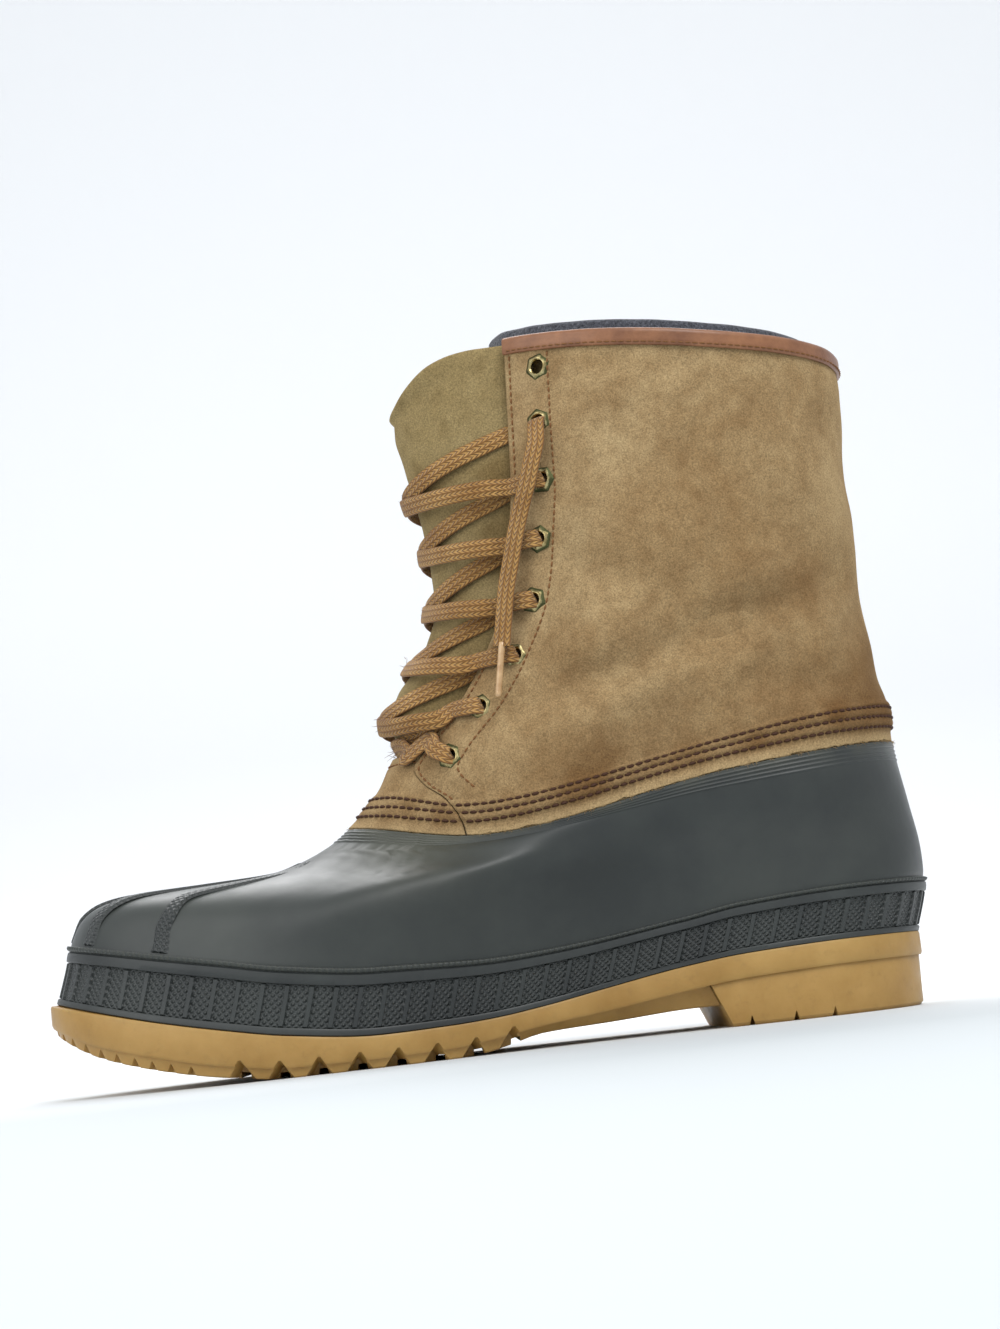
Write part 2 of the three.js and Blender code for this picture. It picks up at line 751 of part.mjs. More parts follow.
function shaft(frames) {
  let solid = shaftWall().subtract(throatPrism(0, shaftHeight * facingTop));
  for (const frame of frames) {
    const drill = new THREE.CylinderGeometry(
      eyeletBarrel + fitGap, eyeletBarrel + fitGap, 4 * suede, eyeletSides,
    ).applyQuaternion(turnedTo(frame.normal)).translate(frame.at.x, frame.at.y, frame.at.z);
    solid = solid.subtract(toSolid(drill));
  }
  return toGeometry(solid);
}

function throatPiece() {
  return toGeometry(shaftWall().intersect(throatPrism(2 * fitGap, toZ(throatPieceTop))));
}

function eyelet() {
  const seat = 2 * fitGap;
  const profile = [
    [eyeletHole, fitGap - suede], [eyeletBarrel, fitGap - suede], [eyeletBarrel, seat],
    [eyeletFlange, seat], [eyeletHole, seat + eyeletRise], [eyeletHole, fitGap - suede],
  ].map(([radius, height]) => new THREE.Vector2(radius, height));
  return toGeometry(toSolid(facedOut(mergedLathe(profile))));
}

function mergedLathe(profile) {
  const lathe = new THREE.LatheGeometry(profile, eyeletSides);
  lathe.deleteAttribute('normal');
  lathe.deleteAttribute('uv');
  return mergeVertices(lathe, 1e-4);
}

// Collar binding: a strip folded over the top edge from one facing round to the other

function collarBinding() {
  const edge = findOnForm(facingX(toZ(1)), formPoint(collarLevel, 0.4).z - 0.5, 1).turn;
  const steps = 26;
  const place = (turn, out, up) => {
    const top = formPoint(collarLevel, turn);
    const rise = top.clone().sub(formPoint(collarLevel - 0.5, turn)).normalize();
    return skin(collarLevel, turn, out).addScaledVector(rise, up);
  };
  const outside = fitGap + bindingWall;
  const inside = -suede - fitGap - bindingWall;
  return sweptSolid(Array.from({ length: steps + 1 }, (_, i) => {
    const turn = edge * ((2 * i) / steps - 1);
    return [
      place(turn, outside, -bindingHeight), place(turn, outside, fitGap + bindingWall),
      place(turn, inside, fitGap + bindingWall), place(turn, inside, -bindingHeight),
      place(turn, -suede - fitGap, -bindingHeight), place(turn, -suede - fitGap, fitGap),
      place(turn, fitGap, fitGap), place(turn, fitGap, -bindingHeight),
    ];
  }));
}

// Tongue: tucked behind the quarters, bowed out between them, rolled open at the top

const tongueDepth = suede + bindingWall + 5 * fitGap;

function tongueFrame(at) {
  const z = toZ(at);
  const reach = Math.min(facingX(z), frontX(z) - 4);
  return { z, found: findOnForm(reach, z, 1) };
}

// The front of the form at a height
function frontX(z) {
  let low = seamLevel;
  let high = collarLevel;
  for (let i = 0; i < 30; i += 1) {
    const level = (low + high) / 2;
    if (formPoint(level, 0.5).z < z) {
      low = level;
    } else {
      high = level;
    }
  }
  return formPoint(low, 0.5).x;
}

// A point of the tongue's outer face. across goes from -1 to 1 between the quarters' edges.
function tonguePoint(frame, row, across, out) {
  const { level, turn } = frame.found;
  const edge = skin(level, turn, -tongueDepth);
  const front = toX(row.x);
  const angle = (across * Math.PI) / 2;
  const depth = front - edge.x;
  const bowed = new THREE.Vector3(
    edge.x + depth * Math.cos(angle), edge.y * Math.sin(angle),
    edge.z - row.dip * shaftHeight * Math.cos(angle),
  );
  const away = new THREE.Vector3(Math.cos(angle) * edge.y, Math.sin(angle) * depth, 0);
  bowed.addScaledVector(away.normalize(), out);
  const turnAt = across > 0 ? 0.5 - (0.5 - turn) * across : 0.5 + (0.5 - turn) * -across;
  const flat = skin(level, turnAt, out - tongueDepth);
  return flat.lerp(bowed, row.bow);
}

function tongueRow(at) {
  return { x: along(tongueRows, 'x', at), bow: along(tongueRows, 'bow', at),
    dip: along(tongueRows, 'dip', at) };
}

function tongue() {
  const sections = tongueRows.map(({ at }) => {
    const frame = tongueFrame(at);
    const row = tongueRow(at);
    const { level, turn } = frame.found;
    const speed = formPoint(level, turn).distanceTo(formPoint(level, turn - 0.005)) / 0.005;
    const tucked = (share) => turn - (share * tongueTuck) / speed;
    const chain = (out) => {
      const points = [tucked(1), tucked(0.4)].map((at) => skin(level, at, out - tongueDepth));
      const bend = Array.from({ length: 9 }, (_, i) => tonguePoint(frame, row, 1 - i / 4, out));
      const back = [tucked(0.4), tucked(1)].map((at) => skin(level, 1 - at, out - tongueDepth));
      return [...points, ...bend, ...back];
    };
    return [...chain(0), ...chain(-tongueWall).reverse()];
  });
  return sweptSolid(sections);
}

// Lace: crossings over the tongue, each two flat strands that meet in the middle

function strand(lowPlace, highPlace, side) {
  const steps = 9;
  const centres = [0.62, 1].map((share) => {
    const x = toX(lowPlace.x) + (facingX(toZ(lowPlace.z)) - toX(lowPlace.x)) * share;
    const found = findOnForm(x, toZ(lowPlace.z), side);
    return {
      at: skin(found.level, found.turn, laceRise + laceThickness / 2),
      away: formNormal(found.level, found.turn),
    };
  });
  for (let i = 1; i <= steps; i += 1) {
    const across = 1 - (laceReach * i) / steps;
    const share = (1 - across) / 2;
    const path = lowPlace.z + (highPlace.z - lowPlace.z) * share
      - laceSag * Math.cos((across * Math.PI) / 2);
    const clear = Math.max(throatPieceTop + laceWidth / shaftHeight - path, 0);
    const at = path + clear * (1 - ease(0.5, 0.9, across));
    const lift = laceThickness / 2 + laceSeat + laceLift * ease(0.15, 0.9, across);
    centres.push(onTongue(at, side * across, lift));
  }
  return flatSolid(centres, laceWidth, laceThickness);
}

// A place over the tongue's outer face and the direction away from it
function onTongue(at, across, lift) {
  const point = (height, place) => tonguePoint(tongueFrame(height), tongueRow(height), place, 0);
  const here = point(at, across);
  const upwards = point(at + 0.015, across).sub(point(at - 0.015, across));
  const onwards = point(at, across + 0.03).sub(point(at, across - 0.03));
  const away = onwards.cross(upwards).normalize();
  return { at: here.addScaledVector(away, lift), away };
}

// A flat strip along centres that each say which way is outward
function flatSolid(centres, width, thickness) {
  return sweptSolid(centres.map(({ at, away }, i) => {
    const before = centres[Math.max(i - 1, 0)].at;
    const after = centres[Math.min(i + 1, centres.length - 1)].at;
    const wide = after.clone().sub(before).cross(away).normalize();
    return [[-1, -1], [-1, 1], [1, 1], [1, -1]].map(([across, up]) => (
      at.clone().addScaledVector(wide, (across * width) / 2).addScaledVector(away, (up * thickness) / 2)
    ));
  }));
}

function crossing(lowPlace, highPlace) {
  const strands = [1, -1].map((side) => toSolid(strand(lowPlace, highPlace, side)));
  return toGeometry(strands[0].add(strands[1]));
}

function laceRoute(side) {
  return lacePlaces.map(({ x, z, out }) => {
    const found = findOnForm(toX(x), toZ(z), side);
    return formPoint(found.level, found.turn).add(new THREE.Vector3(0, side * out, 0));
  });
}

// A lace end: an eight-sided flat tube along its route
function laceEnd(points, side) {
  return sweptSolid(points.map((point, i) => {
    const before = points[Math.max(i - 1, 0)];
    const after = points[Math.min(i + 1, points.length - 1)];
    const away = new THREE.Vector3(0.5, side, 0).normalize();
    const wide = after.clone().sub(before).cross(away).normalize();
    const chain = [[-1, 0.35], [-0.8, 1], [0.8, 1], [1, 0.35], [1, -0.35], [0.8, -1], [-0.8, -1], [-1, -0.35]];
    return chain.map(([across, up]) => (
      point.clone().addScaledVector(wide, (across * laceWidth) / 2)
        .addScaledVector(away, (up * laceThickness) / 2)
    ));
  }));
}

function lastStretch(route) {
  const [before, end] = route.slice(-2);
  return { end, direction: end.clone().sub(before).normalize() };
}

// Liner: a felt bootie, closed at the foot and open at the top

function footRow(level, out, height, count) {
  return turns(count).map((turn) => {
    const point = formPoint(level, turn);
    const share = toShare(point.x);
    point.addScaledVector(formNormal(level, turn).setZ(0).normalize(), out);
    point.z = lineHeight('rim')(share) + height;
    return point;
  });
}

function liner() {
  const floor = insoleThickness + 3 * fitGap;
  const outer = -(bandWall + rubberWall + linerSlack);
  const inner = outer - linerWall;
  const raised = (out, rise) => skinRow(collarLevel, out, formTurns)
    .map((point) => point.add(new THREE.Vector3(0, 0, rise)));
  const rows = [
    footRow(0.25, outer - 2, floor, formTurns),
    skinRow(0.45, outer, formTurns), skinRow(1.5, outer, formTurns),
    ...[3, 6, 9, 10, 11, 12, 13, 14].map((level) => skinRow(level, outer, formTurns)),
    raised(outer, linerRise), raised(inner, linerRise),
    ...[12, 9, 5].map((level) => skinRow(level, inner, formTurns)),
    skinRow(1.5, inner, formTurns),
    footRow(0.6, inner - 2, floor + linerWall, formTurns),
  ];
  return filledSolid(rows);
}

function insole() {
  const out = -(bandWall + rubberWall + insoleSlack);
  return filledSolid([
    footRow(0.02, out, fitGap, formTurns),
    footRow(0.22, out, fitGap + insoleThickness, formTurns),
  ]);
}

// Materials

const gum = new THREE.MeshStandardMaterial({ color: 0xb08a4c, roughness: 0.6, metalness: 0 });
const rubber = new THREE.MeshStandardMaterial({ color: 0x35383a, roughness: 0.5, metalness: 0 });
const tan = new THREE.MeshStandardMaterial({ color: 0xa08258, roughness: 0.95, metalness: 0 });
const paleTan = new THREE.MeshStandardMaterial({ color: 0xa89770, roughness: 0.9, metalness: 0 });
const leather = new THREE.MeshStandardMaterial({ color: 0x9a6444, roughness: 0.5, metalness: 0 });
const metal = new THREE.MeshStandardMaterial({ color: 0x8c8668, roughness: 0.35, metalness: 0.9 });
const braid = new THREE.MeshStandardMaterial({ color: 0xa67a40, roughness: 0.85, metalness: 0 });
const felt = new THREE.MeshStandardMaterial({ color: 0x4a4d52, roughness: 1, metalness: 0 });
const tip = new THREE.MeshStandardMaterial({ color: 0xd9c09a, roughness: 0.3, metalness: 0 });

// The assembly

const boot = new THREE.Group();

function addPiece(name, geometry, material) {
  const mesh = new THREE.Mesh(geometry, material);
  mesh.name = name;
  boot.add(mesh);
  return mesh;
}

const frames = eyeletFrames();
addPiece('outsole', outsole(), gum);
addPiece('heel', heel(), gum);
addPiece('rubber_lower', lowerWithStripes(), rubber);
addPiece('foxing_band', foxingBand(), rubber);
addPiece('shaft', shaft(frames), tan);
addPiece('throat_piece', throatPiece(), tan);
addPiece('tongue', tongue(), paleTan);
addPiece('collar_binding', collarBinding(), leather);
addPiece('liner', liner(), felt);
addPiece('insole', insole(), felt);

for (const frame of frames) {
  const ring = addPiece(frame.name, eyelet(), metal);
  ring.quaternion.copy(turnedTo(frame.normal));
  ring.position.copy(frame.at);
}

for (let row = eyeletPlaces.length - 1; row > 1; row -= 1) {
  const name = `lace_crossing_${eyeletPlaces.length - row}`;
  addPiece(name, crossing(eyeletPlaces[row], eyeletPlaces[row - 1]), braid);
}

for (const [name, side] of [['inner', 1], ['outer', -1]]) {
  const route = laceRoute(side);
  addPiece(`lace_end_${name}`, laceEnd(route, side), braid);
  const { end, direction } = lastStretch(route);
  const aglet = addPiece(`lace_tip_${name}`, new THREE.CylinderGeometry(
    tipDiameter / 2, tipDiameter / 2, tipLength, 8,
  ), tip);
  aglet.quaternion.copy(turnedTo(direction));
  aglet.position.copy(end).addScaledVector(direction, tipLength / 2 + fitGap);
}

export default boot;
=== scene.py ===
import math

import bmesh
import bpy
import numpy as np
from mathutils import Matrix, Vector


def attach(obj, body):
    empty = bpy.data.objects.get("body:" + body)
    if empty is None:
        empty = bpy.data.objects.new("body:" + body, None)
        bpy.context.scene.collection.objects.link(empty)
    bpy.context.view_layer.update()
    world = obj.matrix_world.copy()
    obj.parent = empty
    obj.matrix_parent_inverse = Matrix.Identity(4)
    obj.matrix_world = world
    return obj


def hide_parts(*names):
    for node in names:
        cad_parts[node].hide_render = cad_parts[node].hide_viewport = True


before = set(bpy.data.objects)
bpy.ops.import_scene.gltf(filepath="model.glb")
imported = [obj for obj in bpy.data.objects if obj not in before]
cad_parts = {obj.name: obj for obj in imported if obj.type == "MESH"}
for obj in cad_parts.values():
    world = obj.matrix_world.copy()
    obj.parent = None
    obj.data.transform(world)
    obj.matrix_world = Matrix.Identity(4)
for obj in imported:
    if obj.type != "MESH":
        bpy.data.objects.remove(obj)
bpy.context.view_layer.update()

# The pac boot's looks: its shapes are worked out in millimetres, in the frame of the packed
# model (+X to the toe, +Y to the inner side of the foot, +Z up), and set down in metres.

MM = 0.001

# Sizes shared with the solids

SOLE_LENGTH = 310
BALL_WIDTH = 114
HEEL_HEIGHT = 25.5
HEEL_REST_TO_BACK = 40
BAND_HEIGHT = 20
THROAT_HEIGHT = 84
SHAFT_HEIGHT = 236
TOE_LEAN = 5
FIT_GAP = 0.3
SUEDE = 2
RUBBER_WALL = 2.6
BAND_WALL = 2.2
SOLE_LIP = 1.2
TOE_LIP = 1.6
SOLE_STEP = 1.2
LINER_WALL = 5.5
LINER_RISE = 5
LINER_SLACK = 3.6
INSOLE_THICKNESS = 4
TONGUE_WALL = 2
TONGUE_TUCK = 14
BINDING_HEIGHT = 5
BINDING_WALL = 1.1
RIB_PITCH = 8.2
RIB_HEIGHT = 0.7
LIP_OUT = 1
BEAD_HEIGHT = 1.5
EYELET_HOLE = 2.3
EYELET_BARREL = 2.9
EYELET_FLANGE = 5
EYELET_RISE = 1
LACE_WIDTH = 6.5
LACE_THICKNESS = 1.3
LACE_SAG = 0.02
LACE_LIFT = 4.4
LACE_SEAT = 1.7
LACE_TUCK = 0.9
HEEL_INSET = 1.2
HEEL_BEVEL = 1.2
BREAST_SLOPE = 0.42
BREAST_AT = 0.238
NOTCH_PITCH = 13
NOTCH_DEPTH = 7
NOTCH_RISE = 7
NOTCH_SINK = 3
NOTCH_MOUTH = 1.35
TOE_NOTCH_PITCH = 6.5
TOE_NOTCH_RISE = 4
GROOVE_WIDTH = 3
GROOVE_DEPTH = 2
STRIPE_WIDTH = 6
STRIPE_HEIGHT = 0.7
NOTCH_START = 0.478
NOTCH_CHANGE = 0.81
HEEL_NOTCH_TURNS = (0.155, 0.135, 0.115)
THROAT_PIECE_TOP = 0.455
STRIPE_SPREAD = 0.02
STRIPE_FOOT = 0.055
STRIPE_BEND = 2.5
BEAD_LEVEL = 1
SEAM_LEVEL = 9
COLLAR_LEVEL = 16
TONGUE_DEPTH = SUEDE + BINDING_WALL + 5 * FIT_GAP

# Half widths of the sole: place, inner side, outer side

SOLE_OUTLINE = np.array([
    (0.0, 0.68, 0.68), (0.06, 0.62, 0.62), (0.12, 0.554, 0.554), (0.25, 0.4, 0.433),
    (0.38, 0.3, 0.407), (0.5, 0.35, 0.44), (0.62, 0.463, 0.52), (0.72, 0.53, 0.585),
    (0.82, 0.56, 0.62), (0.92, 0.6, 0.65), (1.0, 0.66, 0.68),
])
OVAL_FULLNESS = 0.4

# Lines along the sole's edge: place, rim, band, wall, tread, inset

EDGE_LINES = np.array([
    (0.0, 1.0, 0.94, 0.686, 0.3, 1.0), (0.1, 0.99, 0.92, 0.68, 0.3, 1.0),
    (0.216, 0.94, 0.88, 0.63, 0.3, 2.0), (0.28, 0.86, 0.83, 0.55, 0.3, 4.0),
    (0.37, 0.69, 0.86, 0.4, 0.24, 5.0), (0.44, 0.55, 0.93, 0.31, 0.2, 4.0),
    (0.5, 0.46, 1.0, 0.2, 0.05, 1.5), (0.54, 0.43, 1.05, 0.14, 0.0, 1.0),
    (0.62, 0.41, 1.12, 0.12, 0.0, 1.0), (0.72, 0.53, 1.15, 0.13, 0.0, 1.0),
    (0.79, 0.69, 1.17, 0.24, 0.09, 1.0), (0.86, 0.88, 1.15, 0.43, 0.26, 1.0),
    (0.93, 1.1, 1.1, 0.68, 0.52, 1.0), (1.0, 1.33, 1.04, 1.08, 0.98, 1.0),
])

# Rings of the outer form: back, front, heights at the back, waist, ball and front, then the
# share of the plain oval and the half widths at the heel, middle and front

LOWER_RINGS = np.array([
    (0.003, 0.987, 0.3, 0.24, 0.15, 0.4, 0.0, 0.99, 0.99, 0.985),
    (-0.014, 0.969, 0.527, 0.435, 0.452, 0.643, 0.0, 1.03, 1.0, 0.985),
    (-0.016, 0.963, 0.571, 0.482, 0.488, 0.69, 0.03, 1.04, 1.01, 0.98),
    (-0.016, 0.955, 0.637, 0.554, 0.548, 0.738, 0.08, 1.05, 1.03, 0.97),
    (-0.0145, 0.933, 0.714, 0.631, 0.625, 0.79, 0.15, 1.07, 1.05, 0.985),
    (-0.011, 0.899, 0.792, 0.708, 0.696, 0.813, 0.3, 1.1, 1.05, 0.975),
    (-0.008, 0.816, 0.869, 0.786, 0.744, 0.823, 0.5, 1.16, 1.0, 0.98),
    (-0.005, 0.742, 0.946, 0.863, 0.786, 0.836, 0.7, 1.22, 0.96, 0.92),
    (-0.002, 0.694, 1.024, 0.94, 0.839, 0.886, 0.85, 1.27, 0.95, 0.93),
    (0.0, 0.643, 1.115, 1.03, 0.887, 1.0, 1.0, 1.28, 0.92, 0.9),
])
UPPER_RINGS = np.array([
    (0.001, 0.606, 0.453, 0.419, 0.377, 0.407, 1.0, 1.25, 0.91, 0.92),
    (0.008, 0.584, 0.5, 0.475, 0.436, 0.453, 1.0, 1.2, 0.92, 0.93),
    (0.012, 0.548, 0.555, 0.538, 0.508, 0.517, 1.0, 1.15, 0.94, 0.93),
    (0.015, 0.494, 0.644, 0.636, 0.627, 0.631, 1.0, 1.1, 0.96, 0.95),
    (0.013, 0.4645, 0.763, 0.763, 0.763, 0.771, 1.0, 1.08, 1.02, 1.0),
    (0.009, 0.448, 0.89, 0.894, 0.903, 0.915, 1.0, 1.08, 1.07, 1.04),
    (0.0065, 0.442, 1.0, 1.015, 1.047, 1.072, 1.0, 1.08, 1.1, 1.06),
])
HEIGHT_COLUMNS = slice(2, 6)
LOWER_RINGS[:, HEIGHT_COLUMNS] *= THROAT_HEIGHT
UPPER_RINGS[:, HEIGHT_COLUMNS] *= SHAFT_HEIGHT
RINGS = np.vstack([LOWER_RINGS, UPPER_RINGS])
LEVELS = np.arange(len(RINGS))

# Front edge of the quarters: height share, length share

FACING_EDGE = np.array([
    (0.28, 0.503), (0.34, 0.51), (0.377, 0.526), (0.403, 0.548), (0.428, 0.558), (0.449, 0.548),
    (0.506, 0.506), (0.576, 0.468), (0.655, 0.439), (0.746, 0.424), (0.835, 0.413),
    (0.975, 0.406), (1.1, 0.4),
])

# Eyelets from the top down: length share, height share

EYELET_PLACES = (
    (0.368, 1.008), (0.374, 0.924), (0.378, 0.835), (0.389, 0.746),
    (0.403, 0.655), (0.43, 0.576), (0.4755, 0.506), (0.516, 0.4385),
)

# The tongue's front: height share, length share, bow, dip

TONGUE_ROWS = np.array([
    (0.41, 0.5965, 0.0, 0.0), (0.438, 0.583, 0.0, 0.0), (0.464, 0.577, 0.3, 0.0),
    (0.488, 0.581, 0.75, 0.0), (0.513, 0.582, 1.0, 0.0), (0.56, 0.568, 1.0, 0.0),
    (0.61, 0.538, 1.0, 0.0), (0.69, 0.514, 1.0, 0.0), (0.8, 0.517, 1.0, 0.0),
    (0.9, 0.532, 1.0, 0.0), (0.98, 0.541, 1.0, 0.02), (1.06, 0.54, 1.0, 0.07),
])

# A lace end from the second eyelet down: length share, height share, distance out sideways

LACE_PLACES = np.array([
    (0.3761, 0.9131, 2.9), (0.3813, 0.8898, 6.3), (0.3887, 0.8602, 8.1), (0.3968, 0.8263, 8.4),
    (0.4065, 0.7924, 8.5), (0.4161, 0.7542, 8.5), (0.4242, 0.7161, 8.4), (0.4323, 0.678, 8.5),
    (0.4387, 0.6356, 8.2), (0.4452, 0.589, 7.7),
])

# Curves through tables, for whole arrays of places


def along(places, values, at):
    """Smooth curve through a table; each place may carry a number or a row of numbers."""
    at = np.asarray(at, float)
    flat = at.ravel()
    places = np.asarray(places, float)
    values = np.asarray(values, float)
    rise = (np.diff(values, axis=0).T / np.diff(places)).T
    before, after = rise[:-1], rise[1:]
    same_way = before * after > 0
    total = np.where(same_way, before + after, 1)
    middle = np.where(same_way, 2 * before * after / total, 0)
    slopes = np.concatenate([rise[:1], middle, rise[-1:]])
    k = np.clip(np.searchsorted(places, flat, side="right") - 1, 0, len(places) - 2)
    here = (k,) if values.ndim == 1 else (k, np.arange(flat.size))
    after_here = (k + 1,) if values.ndim == 1 else (k + 1, np.arange(flat.size))
    span = places[k + 1] - places[k]
    s = np.clip((flat - places[k]) / span, 0, 1)
    found = (
        (1 + 2 * s) * (1 - s) ** 2 * values[here]
        + s * s * (3 - 2 * s) * values[after_here]
        + s * (1 - s) ** 2 * span * slopes[here]
        + s * s * (s - 1) * span * slopes[after_here]
    )
    return found.reshape(at.shape)


def ease(low, high, value):
    s = np.clip((np.asarray(value, float) - low) / (high - low), 0, 1)
    return s * s * (3 - 2 * s)


def dip(value, place, width):
    """A smooth bump of height 1 at one place."""
    return np.exp(-((value - place) / width) ** 2)


def to_x(share):
    return share * SOLE_LENGTH - HEEL_REST_TO_BACK


def to_share(x):
    return (x + HEEL_REST_TO_BACK) / SOLE_LENGTH


def edge_line(column, share):
    return along(EDGE_LINES[:, 0], EDGE_LINES[:, column], share)


def rim_height(share):
    return HEEL_HEIGHT * edge_line(1, share)


def wall_height(share):
    return HEEL_HEIGHT * edge_line(3, share)


def tread_height(share):
    return HEEL_HEIGHT * np.maximum(edge_line(4, share), 0)


def facing_x(z):
    return to_x(along(FACING_EDGE[:, 0], FACING_EDGE[:, 1], np.asarray(z) / SHAFT_HEIGHT))


# The outer form: level counts the rings, turn goes from the back (0) round the inner side to
# the front (0.5) and back by the outer side (1)


def form_point(level, turn):
    level, turn = np.broadcast_arrays(np.asarray(level, float), np.asarray(turn, float))
    shape = level.shape
    level = level.ravel()
    whole = turn.ravel() - np.floor(turn.ravel())
    side = np.where(whole <= 0.5, 1.0, -1.0)
    half = np.where(whole <= 0.5, 2 * whole, 2 - 2 * whole)
    share = (1 - np.cos(np.pi * half)) / 2
    column = [along(LEVELS, RINGS[:, c], level) for c in range(RINGS.shape[1])]
    back, front, z_back, z_mid, z_ball, z_front, oval, heel, mid, fore = column
    reach = back + (front - back) * share
    inner = along(SOLE_OUTLINE[:, 0], SOLE_OUTLINE[:, 1], share)
    outer = along(SOLE_OUTLINE[:, 0], SOLE_OUTLINE[:, 2], share)
    outline = np.where(side > 0, inner, outer)
    fullness = outline * (1 - oval) + OVAL_FULLNESS * oval
    width = along((0.12, 0.5, 0.85), np.array([heel, mid, fore]), share)
    half_width = np.sin(np.pi * half) * fullness * width * BALL_WIDTH
    lean = TOE_LEAN * ease(0.6, 1, reach)
    rim = rim_height(reach)
    band = BAND_HEIGHT * edge_line(2, reach)
    heights = np.array([z_back, z_mid, z_ball, z_front])
    bead = np.repeat(RINGS[BEAD_LEVEL, HEIGHT_COLUMNS][:, None], level.size, axis=1)
    knots = (0, 0.35, 0.75, 1)
    follow = np.maximum(0, 1 - (level - BEAD_LEVEL) / 2)
    above = along(knots, heights, share)
    above = above + (rim + band - along(knots, bead, share)) * follow
    z = np.where(level <= BEAD_LEVEL, rim + band * level, above)
    return np.stack([to_x(reach), side * half_width + lean, z], axis=1).reshape(*shape, 3)


def unit(v):
    return v / np.maximum(np.linalg.norm(v, axis=-1, keepdims=True), 1e-12)


def form_normal(level, turn):
    step = 0.01
    low = form_point(np.maximum(np.asarray(level, float) - step, 0), turn)
    high = form_point(np.minimum(np.asarray(level, float) + step, COLLAR_LEVEL), turn)
    before = form_point(level, np.asarray(turn, float) - step)
    after = form_point(level, np.asarray(turn, float) + step)
    return unit(np.cross(high - low, after - before))


def skin(level, turn, out):
    out = np.asarray(out, float)[..., None]
    return form_point(level, turn) + form_normal(level, turn) * out


def ring_at(turn, level, out):
    """A ring of points at one level, and one distance out from the form."""
    return skin(level + 0 * turn, turn, out + 0 * turn)


def level_at(z, turn):
    low = np.full(np.shape(turn), float(BEAD_LEVEL))
    high = np.full(np.shape(turn), float(COLLAR_LEVEL))
    for _ in range(30):
        middle = (low + high) / 2
        under = form_point(middle, turn)[..., 2] < z
        low = np.where(under, middle, low)
        high = np.where(under, high, middle)
    return (low + high) / 2


SEARCH_LEVELS = np.linspace(BEAD_LEVEL, COLLAR_LEVEL, 121)
SEARCH_HALVES = np.linspace(0.2, 1, 121)
SEARCH_GRID = form_point(SEARCH_LEVELS[:, None], SEARCH_HALVES[None, :] / 2)


def find_on_form(x, z, side):
    """Level and turn of the place that a side view shows at x and z."""
    gap = (SEARCH_GRID[..., 0] - x) ** 2 + (SEARCH_GRID[..., 2] - z) ** 2
    row, column = np.unravel_index(gap.argmin(), gap.shape)
    level, half = SEARCH_LEVELS[row], SEARCH_HALVES[column]
    step = 1e-4
    for _ in range(5):
        places = form_point([level, level - step, level], [half / 2, half / 2, (half - step) / 2])
        slopes = (places[0] - places[1:]) / step
        miss = np.array([x, z]) - places[0, [0, 2]]
        move = np.linalg.lstsq(slopes[:, [0, 2]].T, miss, rcond=1e-6)[0]
        level = float(np.clip(level + move[0], BEAD_LEVEL, COLLAR_LEVEL))
        half = float(np.clip(half + move[1], 0.2, 1))
    return level, half / 2 if side > 0 else 1 - half / 2


def facing_turn(level):
    """Turn at which the quarters end, at each level of the inner side."""
    low = np.full(np.shape(level), 0.15)
    high = np.full(np.shape(level), 0.5)
    for _ in range(36):
        middle = (low + high) / 2
        point = form_point(level, middle)
        behind = point[..., 0] < facing_x(point[..., 2])
        low = np.where(behind, middle, low)
        high = np.where(behind, high, middle)
    return (low + high) / 2


# Even, repeatable unevenness: a few crossing waves, about -1 to 1


def waves(points, size, seed):
    found = np.zeros(points.shape[:-1])
    spread = np.random.default_rng(seed)
    for _ in range(7):
        direction = unit(spread.normal(size=3))
        pace = 2 * np.pi / (size * spread.uniform(0.7, 1.6))
        found += np.sin(points @ direction * pace + spread.uniform(0, 2 * np.pi))
    return found / 3.2


# Meshes


def make_mesh(name, points, faces, uv=None, values=None):
    mesh = bpy.data.meshes.new(name)
    flat = np.asarray(points, float).reshape(-1, 3) * MM
    mesh.from_pydata(flat.tolist(), [], faces)
    if uv is not None:
        layer = mesh.uv_layers.new(name="length")
        layer.data.foreach_set("uv", np.asarray(uv, np.float32).ravel())
    for key, value in (values or {}).items():
        attribute = mesh.attributes.new(key, "FLOAT", "POINT")
        attribute.data.foreach_set("value", np.asarray(value, np.float32).ravel())
    mesh.shade_smooth()
    obj = bpy.data.objects.new(name, mesh)
    bpy.context.scene.collection.objects.link(obj)
    return obj


def grid_faces(rows, cols, closed=False, base=0):
    faces = []
    for r in range(rows - 1):
        for c in range(cols if closed else cols - 1):
            d = (c + 1) % cols
            faces.append((base + r * cols + c, base + r * cols + d,
                          base + (r + 1) * cols + d, base + (r + 1) * cols + c))
    return faces


def grid_mesh(name, points, closed=False, uv=None, values=None, flip=False):
    """A mesh over rows and columns of points; uv has one more column where it is closed."""
    rows, cols = points.shape[:2]
    faces = grid_faces(rows, cols, closed)
    corner_uv = None
    if uv is not None:
        wide = cols if closed else cols - 1
        r, c = np.meshgrid(np.arange(rows - 1), np.arange(wide), indexing="ij")
        r, c = r.ravel(), c.ravel()
        corner_uv = np.stack([uv[r, c], uv[r, c + 1], uv[r + 1, c + 1], uv[r + 1, c]], axis=1)
    if flip:
        faces = [face[::-1] for face in faces]
        if corner_uv is not None:
            corner_uv = corner_uv[:, ::-1]
    return make_mesh(name, points, faces, corner_uv, values)


